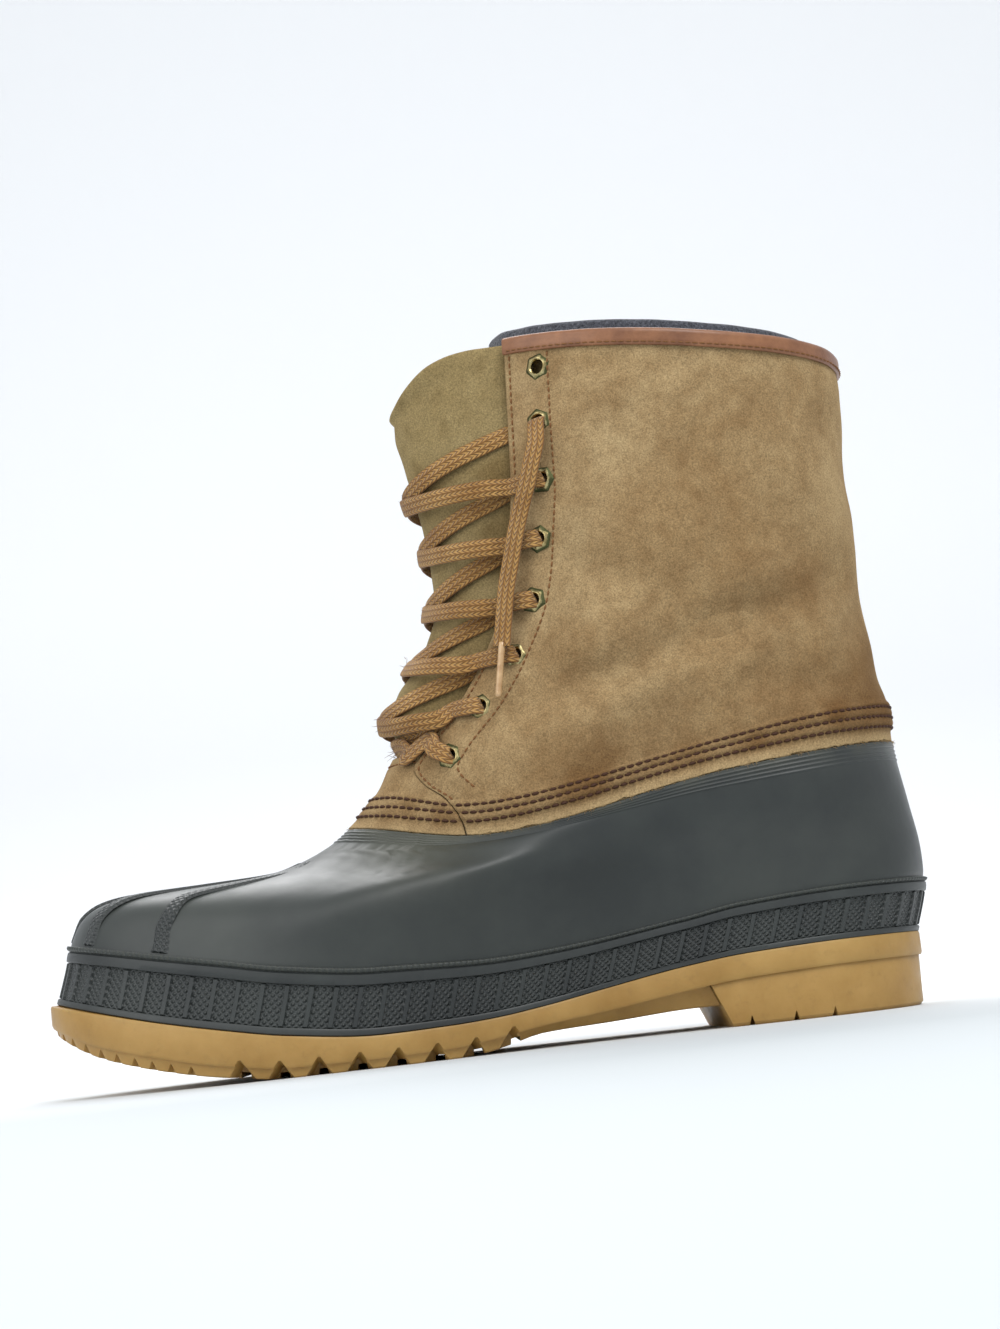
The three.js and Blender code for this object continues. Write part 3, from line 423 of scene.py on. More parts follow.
def run_length(points):
    steps = np.linalg.norm(np.diff(points, axis=0), axis=-1)
    return np.concatenate([np.zeros((1, *steps.shape[1:])), np.cumsum(steps, axis=0)])


def finish_piece(obj, material, slot, *nodes):
    obj.data.materials.clear()
    obj.data.materials.append(material)
    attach(obj, "root")
    if nodes:
        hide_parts(*nodes)
    return obj


def join_meshes(name, parts):
    """One object from lists of points and faces, in millimetres."""
    points, faces, base = [], [], 0
    for part_points, part_faces in parts:
        points.append(np.asarray(part_points, float).reshape(-1, 3))
        faces += [tuple(i + base for i in face) for face in part_faces]
        base += len(points[-1])
    return make_mesh(name, np.vstack(points), faces)


def smooth_line(points, count):
    """Points at even steps along a smooth line through the given ones."""
    points = np.asarray(points, float)
    ends = np.vstack([2 * points[:1] - points[1:2], points, 2 * points[-1:] - points[-2:-1]])
    fine = []
    for k in range(len(points) - 1):
        a, b, c, d = ends[k:k + 4]
        s = np.linspace(0, 1, 24, endpoint=False)[:, None]
        fine.append(0.5 * (2 * b + (c - a) * s + (2 * a - 5 * b + 4 * c - d) * s ** 2
                           + (3 * b - a - 3 * c + d) * s ** 3))
    fine = np.vstack([*fine, points[-1:]])
    length = run_length(fine)
    even = np.linspace(0, length[-1], count)
    return np.stack([np.interp(even, length, fine[:, i]) for i in range(3)], axis=1)


# Node materials


def srgb(red, green, blue):
    def linear(value):
        value /= 255
        return value / 12.92 if value <= 0.04045 else ((value + 0.055) / 1.055) ** 2.4
    return (linear(red), linear(green), linear(blue), 1)


class Finish:
    """A material under construction: its shader and short ways to feed it."""

    def __init__(self, name, color, roughness, metallic=0.0):
        self.material = bpy.data.materials.new(name)
        self.material.use_nodes = True
        self.nodes = self.material.node_tree.nodes
        self.links = self.material.node_tree.links
        self.shader = self.nodes["Principled BSDF"]
        self.shader.inputs["Base Color"].default_value = color
        self.shader.inputs["Roughness"].default_value = roughness
        self.shader.inputs["Metallic"].default_value = metallic
        self.place = self.nodes.new("ShaderNodeTexCoord").outputs["Object"]
        self.relief = None

    def set(self, **values):
        for key, value in values.items():
            self.shader.inputs[key.replace("_", " ")].default_value = value

    def put(self, value, socket):
        if isinstance(value, (int, float, tuple)):
            socket.default_value = value
        else:
            self.links.new(value, socket)

    def noise(self, size_mm, detail=3.0, rough=0.55, stretch=None, twist=0.0):
        node = self.nodes.new("ShaderNodeTexNoise")
        node.inputs["Scale"].default_value = 1 / (size_mm * MM)
        node.inputs["Detail"].default_value = detail
        node.inputs["Roughness"].default_value = rough
        node.inputs["Distortion"].default_value = twist
        place = self.place
        if stretch:
            mapping = self.nodes.new("ShaderNodeMapping")
            mapping.inputs["Scale"].default_value = stretch
            self.links.new(place, mapping.inputs["Vector"])
            place = mapping.outputs["Vector"]
        self.links.new(place, node.inputs["Vector"])
        return node.outputs["Fac"]

    def cells(self, size_mm, feature="F1"):
        node = self.nodes.new("ShaderNodeTexVoronoi")
        node.feature = feature
        node.inputs["Scale"].default_value = 1 / (size_mm * MM)
        self.links.new(self.place, node.inputs["Vector"])
        return node.outputs["Distance"]

    def math(self, operation, a, b=0.0):
        node = self.nodes.new("ShaderNodeMath")
        node.operation = operation
        for value, socket in zip((a, b), node.inputs):
            self.put(value, socket)
        return node.outputs[0]

    def times(self, a, b):
        return self.math("MULTIPLY", a, b)

    def plus(self, a, b):
        return self.math("ADD", a, b)

    def ramp(self, value, *stops):
        """Stops are (place, value) for a number or (place, colour) for a colour."""
        node = self.nodes.new("ShaderNodeValToRGB")
        self.put(value, node.inputs["Fac"])
        line = node.color_ramp
        while len(line.elements) < len(stops):
            line.elements.new(0.5)
        for element, (place, level) in zip(line.elements, stops):
            element.position = place
            element.color = level if isinstance(level, tuple) else (level, level, level, 1)
        return node.outputs["Color"]

    def mix(self, share, a, b, blend="MIX"):
        node = self.nodes.new("ShaderNodeMix")
        node.data_type = "RGBA"
        node.blend_type = blend
        self.put(share, node.inputs["Factor"])
        self.put(a, node.inputs["A"] if node.inputs["A"].type == "RGBA" else node.inputs[6])
        self.put(b, node.inputs["B"] if node.inputs["B"].type == "RGBA" else node.inputs[7])
        return next(out for out in node.outputs if out.type == "RGBA")

    def attribute(self, name):
        node = self.nodes.new("ShaderNodeAttribute")
        node.attribute_name = name
        return node.outputs["Fac"]

    def length_map(self):
        node = self.nodes.new("ShaderNodeUVMap")
        node.uv_map = "length"
        split = self.nodes.new("ShaderNodeSeparateXYZ")
        self.links.new(node.outputs["UV"], split.inputs[0])
        return split.outputs["X"], split.outputs["Y"]

    def color(self, value):
        self.links.new(value, self.shader.inputs["Base Color"])

    def roughness(self, value):
        self.links.new(value, self.shader.inputs["Roughness"])

    def bump(self, height, depth_mm, strength=1.0):
        node = self.nodes.new("ShaderNodeBump")
        node.inputs["Distance"].default_value = depth_mm * MM
        node.inputs["Strength"].default_value = strength
        self.put(height, node.inputs["Height"])
        if self.relief is not None:
            self.links.new(self.relief, node.inputs["Normal"])
        self.relief = node.outputs["Normal"]
        self.links.new(self.relief, self.shader.inputs["Normal"])


def suede_finish(name, base, dark, light, blotch=1.0):
    finish = Finish(name, base, 0.95)
    finish.set(Sheen_Weight=0.25, Sheen_Roughness=0.5, Sheen_Tint=light, Specular_IOR_Level=0.15)
    wide = finish.ramp(finish.noise(38, 4, 0.6, twist=0.6), (0.3, 0.0), (0.72, 1.0))
    small = finish.ramp(finish.noise(6, 5, 0.65), (0.35, 0.0), (0.7, 1.0))
    nap = finish.noise(0.6, 4, 0.75)
    color = finish.mix(wide, light, base)
    color = finish.mix(finish.times(small, 0.45 * blotch), color, dark)
    # Darker where stained and where shade is painted in, lighter where worn and where a highlight is painted
    # in
    stain_and_shade = finish.times(finish.attribute("stain_and_shade"), 0.85)
    color = finish.mix(stain_and_shade, color, dark)
    color = finish.mix(finish.attribute("wear_and_highlight"), color, light)
    speck = finish.ramp(nap, (0.34, 0.6), (0.66, 1.3))
    finish.color(finish.mix(1.0, color, speck, "MULTIPLY"))
    finish.bump(nap, 0.35, 0.7)
    finish.bump(finish.noise(4, 4, 0.6), 0.5, 0.5)
    return finish.material


def rubber_finish(name):
    base = srgb(46, 50, 48)
    finish = Finish(name, base, 0.42)
    finish.set(Specular_IOR_Level=0.45)
    dust = finish.ramp(finish.noise(60, 5, 0.6), (0.35, srgb(40, 44, 43)), (0.75, srgb(58, 62, 58)))
    color = finish.mix(finish.times(finish.attribute("stain_and_shade"), 0.7), dust, srgb(80, 80, 66))
    finish.color(color)
    finish.roughness(finish.ramp(finish.noise(22, 4, 0.6), (0.3, 0.36), (0.75, 0.52)))
    finish.bump(finish.noise(0.7, 3, 0.6), 0.05, 0.4)
    finish.bump(finish.noise(16, 3, 0.5), 0.6, 0.25)
    return finish.material


def knurl_finish(name, pitch=2.4):
    base = srgb(44, 48, 47)
    finish = Finish(name, base, 0.45)
    finish.set(Specular_IOR_Level=0.45)
    run, rise = finish.length_map()
    one = finish.math("SINE", finish.times(finish.plus(run, rise), math.pi / pitch))
    two = finish.math("SINE", finish.times(finish.math("SUBTRACT", run, rise), math.pi / pitch))
    lozenge = finish.times(finish.times(one, one), finish.times(two, two))
    inside = finish.attribute("panel")
    height = finish.times(lozenge, inside)
    finish.bump(height, 0.8, 1.0)
    dust = finish.ramp(finish.noise(30, 5, 0.6), (0.35, srgb(38, 41, 41)), (0.75, srgb(54, 58, 56)))
    # Painted highlight: the raised diamonds of the knurled panels are lighter
    finish.color(finish.mix(finish.times(height, 0.5), dust, srgb(84, 87, 85)))
    return finish.material


def gum_finish(name):
    base = srgb(158, 122, 62)
    finish = Finish(name, base, 0.45)
    finish.set(Specular_IOR_Level=0.4, Subsurface_Weight=0.05)
    shade = finish.ramp(finish.noise(26, 5, 0.6), (0.3, srgb(146, 110, 52)), (0.72, srgb(172, 136, 76)))
    dirt = finish.ramp(finish.noise(5, 5, 0.7), (0.55, 0.0), (0.8, 1.0))
    color = finish.mix(finish.times(dirt, 0.35), shade, srgb(112, 86, 48))
    finish.color(color)
    finish.roughness(finish.ramp(finish.noise(9, 4, 0.6), (0.3, 0.38), (0.75, 0.58)))
    finish.bump(finish.noise(1.1, 3, 0.6), 0.08, 0.5)
    finish.bump(finish.noise(12, 3, 0.6), 0.4, 0.3)
    return finish.material


BRAID_COLUMNS = 3.0
YARN_PITCH = 2.1
YARN_SLANT = 1.8


def braid_finish(name):
    base = srgb(160, 122, 74)
    finish = Finish(name, base, 0.85)
    finish.set(Sheen_Weight=0.2, Specular_IOR_Level=0.2)
    run, across = finish.length_map()
    column = finish.math("FRACT", finish.times(across, BRAID_COLUMNS))
    leg = finish.math("ABSOLUTE", finish.math("SUBTRACT", column, 0.5))
    yarns = finish.times(run, 1 / YARN_PITCH)
    chevron = finish.plus(yarns, finish.times(leg, YARN_SLANT))
    yarn = finish.math("ABSOLUTE", finish.math("SINE", finish.times(chevron, math.pi)))
    groove = finish.math("SINE", finish.times(column, math.pi))
    height = finish.times(yarn, groove)
    shade = finish.ramp(finish.noise(14, 4, 0.6), (0.3, srgb(152, 110, 56)), (0.75, srgb(192, 150, 90)))
    # Painted shade: the grooves between the yarns and between the braid's columns are darker
    dark = srgb(100, 62, 26)
    finish.color(finish.mix(finish.ramp(height, (0.1, 0.75), (0.6, 0.0)), shade, dark))
    finish.bump(height, 0.6, 1.0)
    finish.bump(finish.noise(0.5, 3, 0.6), 0.12, 0.6)
    return finish.material


def felt_finish(name):
    base = srgb(64, 66, 72)
    finish = Finish(name, base, 1.0)
    finish.set(Sheen_Weight=0.3, Specular_IOR_Level=0.1)
    heather = finish.ramp(
        finish.noise(0.9, 4, 0.75),
        (0.35, srgb(34, 35, 40)), (0.6, srgb(82, 84, 92)), (0.8, srgb(132, 134, 140)),
    )
    finish.color(finish.mix(finish.attribute("fleece"), heather, srgb(206, 202, 190)))
    finish.bump(finish.noise(1.4, 4, 0.75), 0.8, 0.9)
    return finish.material


def binding_finish(name):
    base = srgb(142, 98, 72)
    finish = Finish(name, base, 0.42)
    finish.set(Specular_IOR_Level=0.45, Coat_Weight=0.1)
    shade = finish.ramp(finish.noise(10, 5, 0.6), (0.3, srgb(108, 66, 40)), (0.72, srgb(146, 98, 64)))
    finish.color(shade)
    finish.bump(finish.cells(0.9), 0.08, 0.6)
    finish.bump(finish.noise(5, 4, 0.6), 0.2, 0.4)
    return finish.material


def thread_finish(name, base):
    finish = Finish(name, base, 0.7)
    finish.set(Specular_IOR_Level=0.3)
    finish.color(finish.mix(finish.noise(0.8, 3, 0.6), base, tuple(0.55 * v for v in base[:3]) + (1,)))
    finish.bump(finish.noise(0.4, 2, 0.6), 0.1, 0.6)
    return finish.material


def metal_finish(name):
    base = srgb(150, 142, 108)
    finish = Finish(name, base, 0.32, 1.0)
    outer_edge = finish.times(finish.attribute("rim"), 0.35)
    patchy = finish.plus(finish.noise(3.5, 5, 0.7), outer_edge)
    patina = finish.ramp(patchy, (0.55, 0.0), (0.75, 0.9))
    tarnish = finish.mix(finish.noise(1.2, 4, 0.7), srgb(70, 70, 44), srgb(46, 66, 42))
    bright = finish.ramp(finish.noise(2, 4, 0.6), (0.3, srgb(190, 176, 130)), (0.7, srgb(146, 128, 82)))
    finish.color(finish.mix(patina, bright, tarnish))
    finish.roughness(finish.ramp(patina, (0.0, 0.26), (1.0, 0.62)))
    finish.bump(finish.noise(1.0, 3, 0.6), 0.06, 0.5)
    return finish.material


def tip_finish(name):
    base = srgb(184, 148, 104)
    finish = Finish(name, base, 0.25)
    finish.set(Coat_Weight=0.3)
    finish.color(finish.ramp(finish.noise(4, 4, 0.6), (0.3, srgb(196, 162, 118)), (0.75, srgb(158, 118, 76))))
    finish.bump(finish.noise(1.5, 3, 0.6), 0.1, 0.4)
    return finish.material


SUEDE_BASE = srgb(148, 120, 82)
SUEDE_DARK = srgb(102, 72, 40)
SUEDE_LIGHT = srgb(174, 150, 110)
suede = suede_finish("suede", SUEDE_BASE, SUEDE_DARK, SUEDE_LIGHT)
flat_suede = suede_finish("tongue_suede", srgb(136, 116, 76), srgb(102, 82, 48), srgb(152, 134, 94), 0.6)
rubber = rubber_finish("rubber")
knurled = knurl_finish("knurled_rubber")
gum = gum_finish("gum")
braid = braid_finish("lace")
felt = felt_finish("felt")
binding_leather = binding_finish("binding")
brown_thread = thread_finish("brown_thread", srgb(74, 44, 26))
tan_thread = thread_finish("tan_thread", srgb(136, 92, 52))
brass = metal_finish("eyelet_metal")
aglet = tip_finish("lace_tip")

# Camera: the photograph's place beside the boot, low over the floor

CAMERA_PLACE = Vector((0.125, 0.802, 0.017))
CAMERA_PITCH = math.radians(8.6)
CAMERA_ROLL = math.radians(6.4)
CAMERA_YAW = math.radians(-1.9)
CAMERA_LENS = 80
SENSOR_WIDTH = 36

# Painted shade: the floor's colour is darker near the camera than behind the boot

FLOOR_FAR = (0.95, 0.96, 0.97, 1)
FLOOR_NEAR = (0.52, 0.555, 0.57, 1)
FLOOR_DEPTH = 1.4
FLOOR_BEND = 0.6
SKY_COLOR = (0.93, 0.96, 1, 1)
SKY_STRENGTH = 0.8

# Lights: name, place, size and power

LIGHTS = (
    ("key", (-0.35, 0.9, 1.3), 0.9, 13),
    ("fill", (0.9, 0.7, 0.7), 1.1, 5),
    ("back", (0.1, -1.0, 1.2), 1.2, 14),
)


def add_camera():
    data = bpy.data.cameras.new("camera")
    data.sensor_fit = "HORIZONTAL"
    data.sensor_width = SENSOR_WIDTH
    data.lens = CAMERA_LENS
    data.clip_start = 0.01
    forward = Vector((math.sin(CAMERA_YAW), -math.cos(CAMERA_PITCH), math.sin(CAMERA_PITCH)))
    forward.normalize()
    right = forward.cross(Vector((0, 0, 1))).normalized()
    up = right.cross(forward)
    tilted_right = right * math.cos(CAMERA_ROLL) - up * math.sin(CAMERA_ROLL)
    tilted_up = right * math.sin(CAMERA_ROLL) + up * math.cos(CAMERA_ROLL)
    turn = Matrix((tilted_right, tilted_up, -forward)).transposed().to_4x4()
    camera = bpy.data.objects.new("camera", data)
    camera.matrix_world = Matrix.Translation(CAMERA_PLACE) @ turn
    bpy.context.scene.collection.objects.link(camera)
    bpy.context.scene.camera = camera


def add_light(name, place, size, power):
    data = bpy.data.lights.new(name, "AREA")
    data.shape = "DISK"
    data.size = size
    data.energy = power
    light = bpy.data.objects.new(name, data)
    light.location = place
    aim = Vector((0.1, 0, 0.1)) - Vector(place)
    light.rotation_euler = aim.to_track_quat("-Z", "Y").to_euler()
    bpy.context.scene.collection.objects.link(light)


def add_studio():
    world = bpy.data.worlds.new("studio")
    world.use_nodes = True
    world.node_tree.nodes["Background"].inputs["Color"].default_value = SKY_COLOR
    world.node_tree.nodes["Background"].inputs["Strength"].default_value = SKY_STRENGTH
    bpy.context.scene.world = world
    bpy.context.scene.view_settings.view_transform = "Standard"
    for light in LIGHTS:
        add_light(*light)
    bend, depth = FLOOR_BEND, FLOOR_DEPTH
    profile = [(1.6, 0.0), (-depth, 0.0)]
    for i in range(1, 13):
        angle = math.pi / 2 * i / 12
        profile.append((-depth - bend * math.sin(angle), bend * (1 - math.cos(angle))))
    profile.append((-depth - bend, 3.0))
    rows = np.array([[(x / MM, y / MM, z / MM) for x in (-4, 4)] for y, z in profile])
    floor = grid_mesh("floor", rows)
    finish = Finish("floor", (0.86, 0.87, 0.88, 1), 0.7)
    split = finish.nodes.new("ShaderNodeSeparateXYZ")
    finish.links.new(finish.place, split.inputs[0])
    # Painted shade: the floor's colour darkens towards the camera
    near = finish.plus(finish.times(split.outputs["Y"], 1.2), 0.5)
    finish.color(finish.ramp(near, (0.1, FLOOR_FAR), (0.75, FLOOR_NEAR)))
    floor.data.materials.append(finish.material)


add_camera()
add_studio()

# Lace: flat braid, swept along a line that knows which way is outward


def ribbon(name, centres, outward, width=LACE_WIDTH, thickness=1.25 * LACE_THICKNESS, count=None):
    centres = np.asarray(centres, float)
    outward = np.asarray(outward, float)
    length = run_length(centres)[-1]
    count = count or max(int(length / 0.9), 12)
    fine = smooth_line(centres, count)
    key = run_length(centres)
    at = np.linspace(0, key[-1], count)
    away = unit(np.stack([np.interp(at, key, outward[:, i]) for i in range(3)], axis=1))
    ahead = unit(np.gradient(fine, axis=0))
    wide = unit(np.cross(ahead, away))
    away = unit(np.cross(wide, ahead))
    around = np.linspace(0, 2 * np.pi, 20, endpoint=False)
    x = np.sign(np.cos(around)) * np.abs(np.cos(around)) ** 0.55 * width / 2
    y = np.sign(np.sin(around)) * np.abs(np.sin(around)) ** 0.8 * thickness / 2
    points = fine[:, None] + wide[:, None] * x[None, :, None] + away[:, None] * y[None, :, None]
    across = np.append(x / width + 0.5, x[0] / width + 0.5)
    run = run_length(fine)
    uv = np.stack(np.meshgrid(run, across, indexing="ij"), axis=-1)
    return grid_mesh(name, points, closed=True, uv=uv), fine


def eyelet_frame(index, side):
    x, z = EYELET_PLACES[index]
    level, turn = find_on_form(to_x(x), z * SHAFT_HEIGHT, side)
    return form_point(level, turn), form_normal(level, turn), level, turn


EYELETS = {(i, side): eyelet_frame(i, side) for i in range(8) for side in (1, -1)}


def find_tongue_edge(at):
    z = at * SHAFT_HEIGHT
    front = form_point(level_at(z, np.array(0.5)), 0.5)[0]
    return find_on_form(min(float(facing_x(z)), front - 4), z, 1)


TONGUE_HEIGHTS = np.linspace(TONGUE_ROWS[0, 0] - 0.02, TONGUE_ROWS[-1, 0] + 0.02, 90)
TONGUE_EDGES = np.array([find_tongue_edge(at) for at in TONGUE_HEIGHTS])
TONGUE_SIDES = skin(TONGUE_EDGES[:, 0], TONGUE_EDGES[:, 1], np.full(len(TONGUE_HEIGHTS), -TONGUE_DEPTH))


def between(at, places, rows):
    """A row of numbers read off a table at one place."""
    return np.array([np.interp(at, places, rows[:, i]) for i in range(rows.shape[1])])


def tongue_edge(at):
    return between(at, TONGUE_HEIGHTS, TONGUE_EDGES)


def tongue_points(at, across, out):
    """Points over the tongue's outer face at one height, for an array of places across."""
    x, bow, dip = (along(TONGUE_ROWS[:, 0], TONGUE_ROWS[:, c], at) for c in (1, 2, 3))
    level, turn = tongue_edge(at)
    edge = between(at, TONGUE_HEIGHTS, TONGUE_SIDES)
    angle = across * np.pi / 2
    depth = to_x(x) - edge[0]
    bowed = np.stack([
        edge[0] + depth * np.cos(angle), edge[1] * np.sin(angle),
        edge[2] - dip * SHAFT_HEIGHT * np.cos(angle) ** 4,
    ], axis=-1)
    away = unit(np.stack([np.cos(angle) * edge[1], np.sin(angle) * depth, 0 * angle], axis=-1))
    bowed = bowed + away * np.asarray(out)[..., None]
    if bow >= 1:
        return bowed
    flat = skin(level, 0.5 - (0.5 - turn) * across, out - TONGUE_DEPTH)
    return flat + (bowed - flat) * bow


def over_tongue(at, across, lift):
    here = tongue_points(at, np.array(across), np.array(0.0))
    upward = (tongue_points(at + 0.015, np.array(across), np.array(0.0))
              - tongue_points(at - 0.015, np.array(across), np.array(0.0)))
    onward = (tongue_points(at, np.array(across + 0.03), np.array(0.0))
              - tongue_points(at, np.array(across - 0.03), np.array(0.0)))
    away = unit(np.cross(onward, upward))
    return here + away * lift, away


# How far each row of lace stands off the tongue, by its lower eyelet, in millimetres

SLACK = (0, 0, 3.4, 1.6, 2.6, 1.0, 2.2, 0.6)

# Points of a strand over the tongue, and how far round it they go from the edge at 1

STRAND_STEPS = 10
STRAND_REACH = 1.8


def strand(low, high, side):
    """Out of one eyelet, over the facing and the tongue, and under the other facing."""
    low_x, low_z = EYELET_PLACES[low]
    high_z = EYELET_PLACES[high][1]
    centre, normal, _, _ = EYELETS[low, side]
    points = [centre - normal * 1.2, centre + normal * 2.4]
    ways = [unit(normal + np.array([-0.8, 0, 0.2])), unit(normal + np.array([-0.5, 0, 0.1]))]
    climb = max(THROAT_PIECE_TOP + LACE_WIDTH / SHAFT_HEIGHT - low_z, 0)
    for share in (0.45, 1.0):
        place_z = (low_z + 0.65 * climb * share) * SHAFT_HEIGHT
        x = to_x(low_x) + (float(facing_x(place_z)) - to_x(low_x)) * share
        level, turn = find_on_form(x, place_z, side)
        lift = (2.0 if share < 1 else 1.0) + LACE_THICKNESS / 2
        points.append(skin(level, turn, lift))
        ways.append(form_normal(level, turn))
    for i in range(1, STRAND_STEPS + 1):
        across = 1 - STRAND_REACH * i / STRAND_STEPS
        share = (1 - across) / 2
        path = low_z + (high_z - low_z) * share - LACE_SAG * math.cos(across * math.pi / 2)
        clear = max(THROAT_PIECE_TOP + LACE_WIDTH / SHAFT_HEIGHT - path, 0)
        at = path + clear * (1 - float(ease(0.3, 1.0, across)))
        hug = float(ease(-0.35, 0.1, across))
        lift = LACE_THICKNESS / 2 + 0.35 + (LACE_SEAT - 0.35) * hug
        lift += LACE_LIFT * float(ease(0.15, 0.9, across))
        loose = math.cos(min(abs(across), 1) * math.pi / 2) ** 2 * SLACK[low] * (1 if side > 0 else 0.6)
        point, away = over_tongue(at - 0.5 * loose / SHAFT_HEIGHT, side * across, lift + 0.8 * loose)
        points.append(point)
        ways.append(away)
    _, _, level, turn = EYELETS[high, -side]
    facing_at = find_on_form(float(facing_x(high_z * SHAFT_HEIGHT)), high_z * SHAFT_HEIGHT, -side)
    points.append(skin(*facing_at, -SUEDE - LACE_TUCK))
    ways.append(form_normal(*facing_at))
    points.append(skin(level, turn, -SUEDE - LACE_TUCK))
    ways.append(form_normal(level, turn))
    return points, ways


WORN_SPOTS = []


def add_laces():
    for row in range(7, 1, -1):
        number = 8 - row
        for side, label in ((1, "inner"), (-1, "outer")):
            points, ways = strand(row, row - 1, side)
            if side > 0:
                WORN_SPOTS.append((points[8], ways[8]))
            lace, _ = ribbon(f"lace_strand_{label}_{number}", points, ways)
            nodes = (f"lace_crossing_{number}",) if side > 0 else ()
            finish_piece(lace, braid, "lace", *nodes)


def add_lace_end(label, side):
    route = np.array([
        form_point(*find_on_form(to_x(x), z * SHAFT_HEIGHT, side)) + np.array([0, side * out, 0])
        for x, z, out in LACE_PLACES
    ])
    centre, normal, _, _ = EYELETS[1, side]
    lead = [centre - normal * 0.6, centre + normal * 2.2]
    points = np.vstack([lead, route[1:]])
    out = unit(np.array([0.5, side, 0.0]))
    ways = [unit(normal + np.array([0.3, 0, 1.5])), unit(normal + np.array([0, 0, 0.6]))]
    ways += [out] * (len(points) - 2)
    lace, line = ribbon(f"lace_end_{label}_braid", points, ways, count=90)
    finish_piece(lace, braid, "lace", f"lace_end_{label}")
    end = route[-1]
    direction = unit(route[-1] - route[-2])
    tip = aglet_piece(f"lace_tip_{label}_sheath", end, direction)
    finish_piece(tip, aglet, "lace_tip", f"lace_tip_{label}")


# Profile of a lace tip: distance along it, radius

TIP_PROFILE = (
    (-1.5, 1.02), (-1.4, 1.18), (0, 1.2), (8, 1.17),
    (16.6, 1.12), (17.8, 0.95), (18.2, 0.5), (18.3, 0.01),
)


def aglet_piece(name, end, direction):
    side_way = unit(np.cross(direction, np.array([0.0, 0.0, 1.0]) + 0.01))
    other = np.cross(direction, side_way)
    around = np.linspace(0, 2 * np.pi, 16, endpoint=False)
    rows = []
    for at, radius in TIP_PROFILE:
        centre = end + direction * at
        rows.append([centre + (side_way * math.cos(a) + other * math.sin(a)) * radius for a in around])
    return grid_mesh(name, np.array(rows), closed=True, flip=True)


add_laces()
add_lace_end("inner", 1)
add_lace_end("outer", -1)

# Outsole and heel

SOLE_TURNS = 240
EDGE_STEPS = 400


def sole_row(height, out):
    turn = np.arange(SOLE_TURNS) / SOLE_TURNS
    edge = form_point(0, turn)
    share = to_share(edge[:, 0])
    normal = form_normal(0, turn)
    normal[:, 2] = 0
    edge = edge + unit(normal) * out(share)[:, None]
    edge[:, 2] = height(share)
    return edge


def lip_at(share):
    return SOLE_LIP * (1 + TOE_LIP * ease(0.85, 1, share))


def filled(name, rows):
    """Closed rows with both ends filled across."""
    rows = np.array(rows)
    count = rows.shape[1]
    faces = grid_faces(len(rows), count, closed=True)
    for base, flip in ((0, False), ((len(rows) - 1) * count, True)):
        for i in range(count // 2):
            near, after = base + i, base + i + 1
            far, behind = base + (count - i) % count, base + count - i - 1
            if i == 0:
                fill = (near, behind, after)
            elif i == count // 2 - 1:
                fill = (near, far, after)
            else:
                fill = (near, far, behind, after)
            faces.append(fill if flip else fill[::-1])
    return make_mesh(name, rows, faces)


def cutter(name, blocks):
    """Cutting blocks, each a closed sweep of two sections, as one mesh."""
    parts = []
    for sections in blocks:
        points = np.array(sections).reshape(-1, 3)
        count = len(sections[0])
        faces = grid_faces(len(sections), count, closed=True)
        faces.append(tuple(range(count))[::-1])
        faces.append(tuple(range(len(points) - count, len(points))))
        parts.append((points, faces))
    return join_meshes(name, parts)


def tidy_normals(obj):
    work = bmesh.new()
    work.from_mesh(obj.data)
    bmesh.ops.recalc_face_normals(work, faces=work.faces)
    work.to_mesh(obj.data)
    work.free()


def carve(obj, other, operation="DIFFERENCE"):
    tidy_normals(obj)
    tidy_normals(other)
    cut = obj.modifiers.new("cut", "BOOLEAN")
    cut.operation = operation
    cut.object = other
    cut.solver = "MANIFOLD"
    bpy.context.view_layer.update()
    graph = bpy.context.evaluated_depsgraph_get()
    mesh = bpy.data.meshes.new_from_object(obj.evaluated_get(graph))
    obj.modifiers.clear()
    obj.data = mesh
    bpy.data.objects.remove(other)


def notch_block(place, normal, depth, mouth, rise):
    tangent = np.array([-normal[1], normal[0], 0])
    sections = []
    for out, scale in ((2 * SOLE_LIP + 2.5, 1.0), (-depth, 0.55)):
        section = [
            place + normal * out + tangent * across * mouth * scale / 2
            + np.array([0, 0, up * rise * scale - (1 - up) * NOTCH_SINK])
            for across, up in ((-1, 0), (-0.06, 1), (0.06, 1), (1, 0))
        ]
        sections.append(section)
    return sections


def edge_at(turn):
    edge = form_point(0, turn)
    normal = form_normal(0, turn)
    normal[2] = 0
    return edge, unit(normal)


def notch_blocks():
    blocks = []

    def add(turn, mouth, rise, depth):
        for at in (turn, 1 - turn):
            edge, normal = edge_at(at)
            edge[2] = tread_height(to_share(edge[0]))
            blocks.append(notch_block(edge, normal, depth, mouth, rise))

    turns = 0.5 * np.arange(EDGE_STEPS) / EDGE_STEPS
    edges = form_point(0, turns)
    following = to_x(NOTCH_START)
    change = to_x(NOTCH_CHANGE)
    walked = 0.0
    for i in range(1, EDGE_STEPS):
        x = edges[i, 0]
        if following <= x < change:
            add(turns[i], NOTCH_MOUTH * NOTCH_PITCH, NOTCH_RISE, NOTCH_DEPTH)
            following += NOTCH_PITCH
        if x >= change:
            walked += np.linalg.norm(edges[i] - edges[i - 1])
            if walked >= TOE_NOTCH_PITCH:
                add(turns[i], NOTCH_MOUTH * TOE_NOTCH_PITCH, TOE_NOTCH_RISE, NOTCH_DEPTH / 2)
                walked = 0.0
    return blocks


def side_prism(outline, half_width=90):
    return [
        [np.array([x, -half_width, z]) for x, z in outline],
        [np.array([x, half_width, z]) for x, z in outline],
    ]


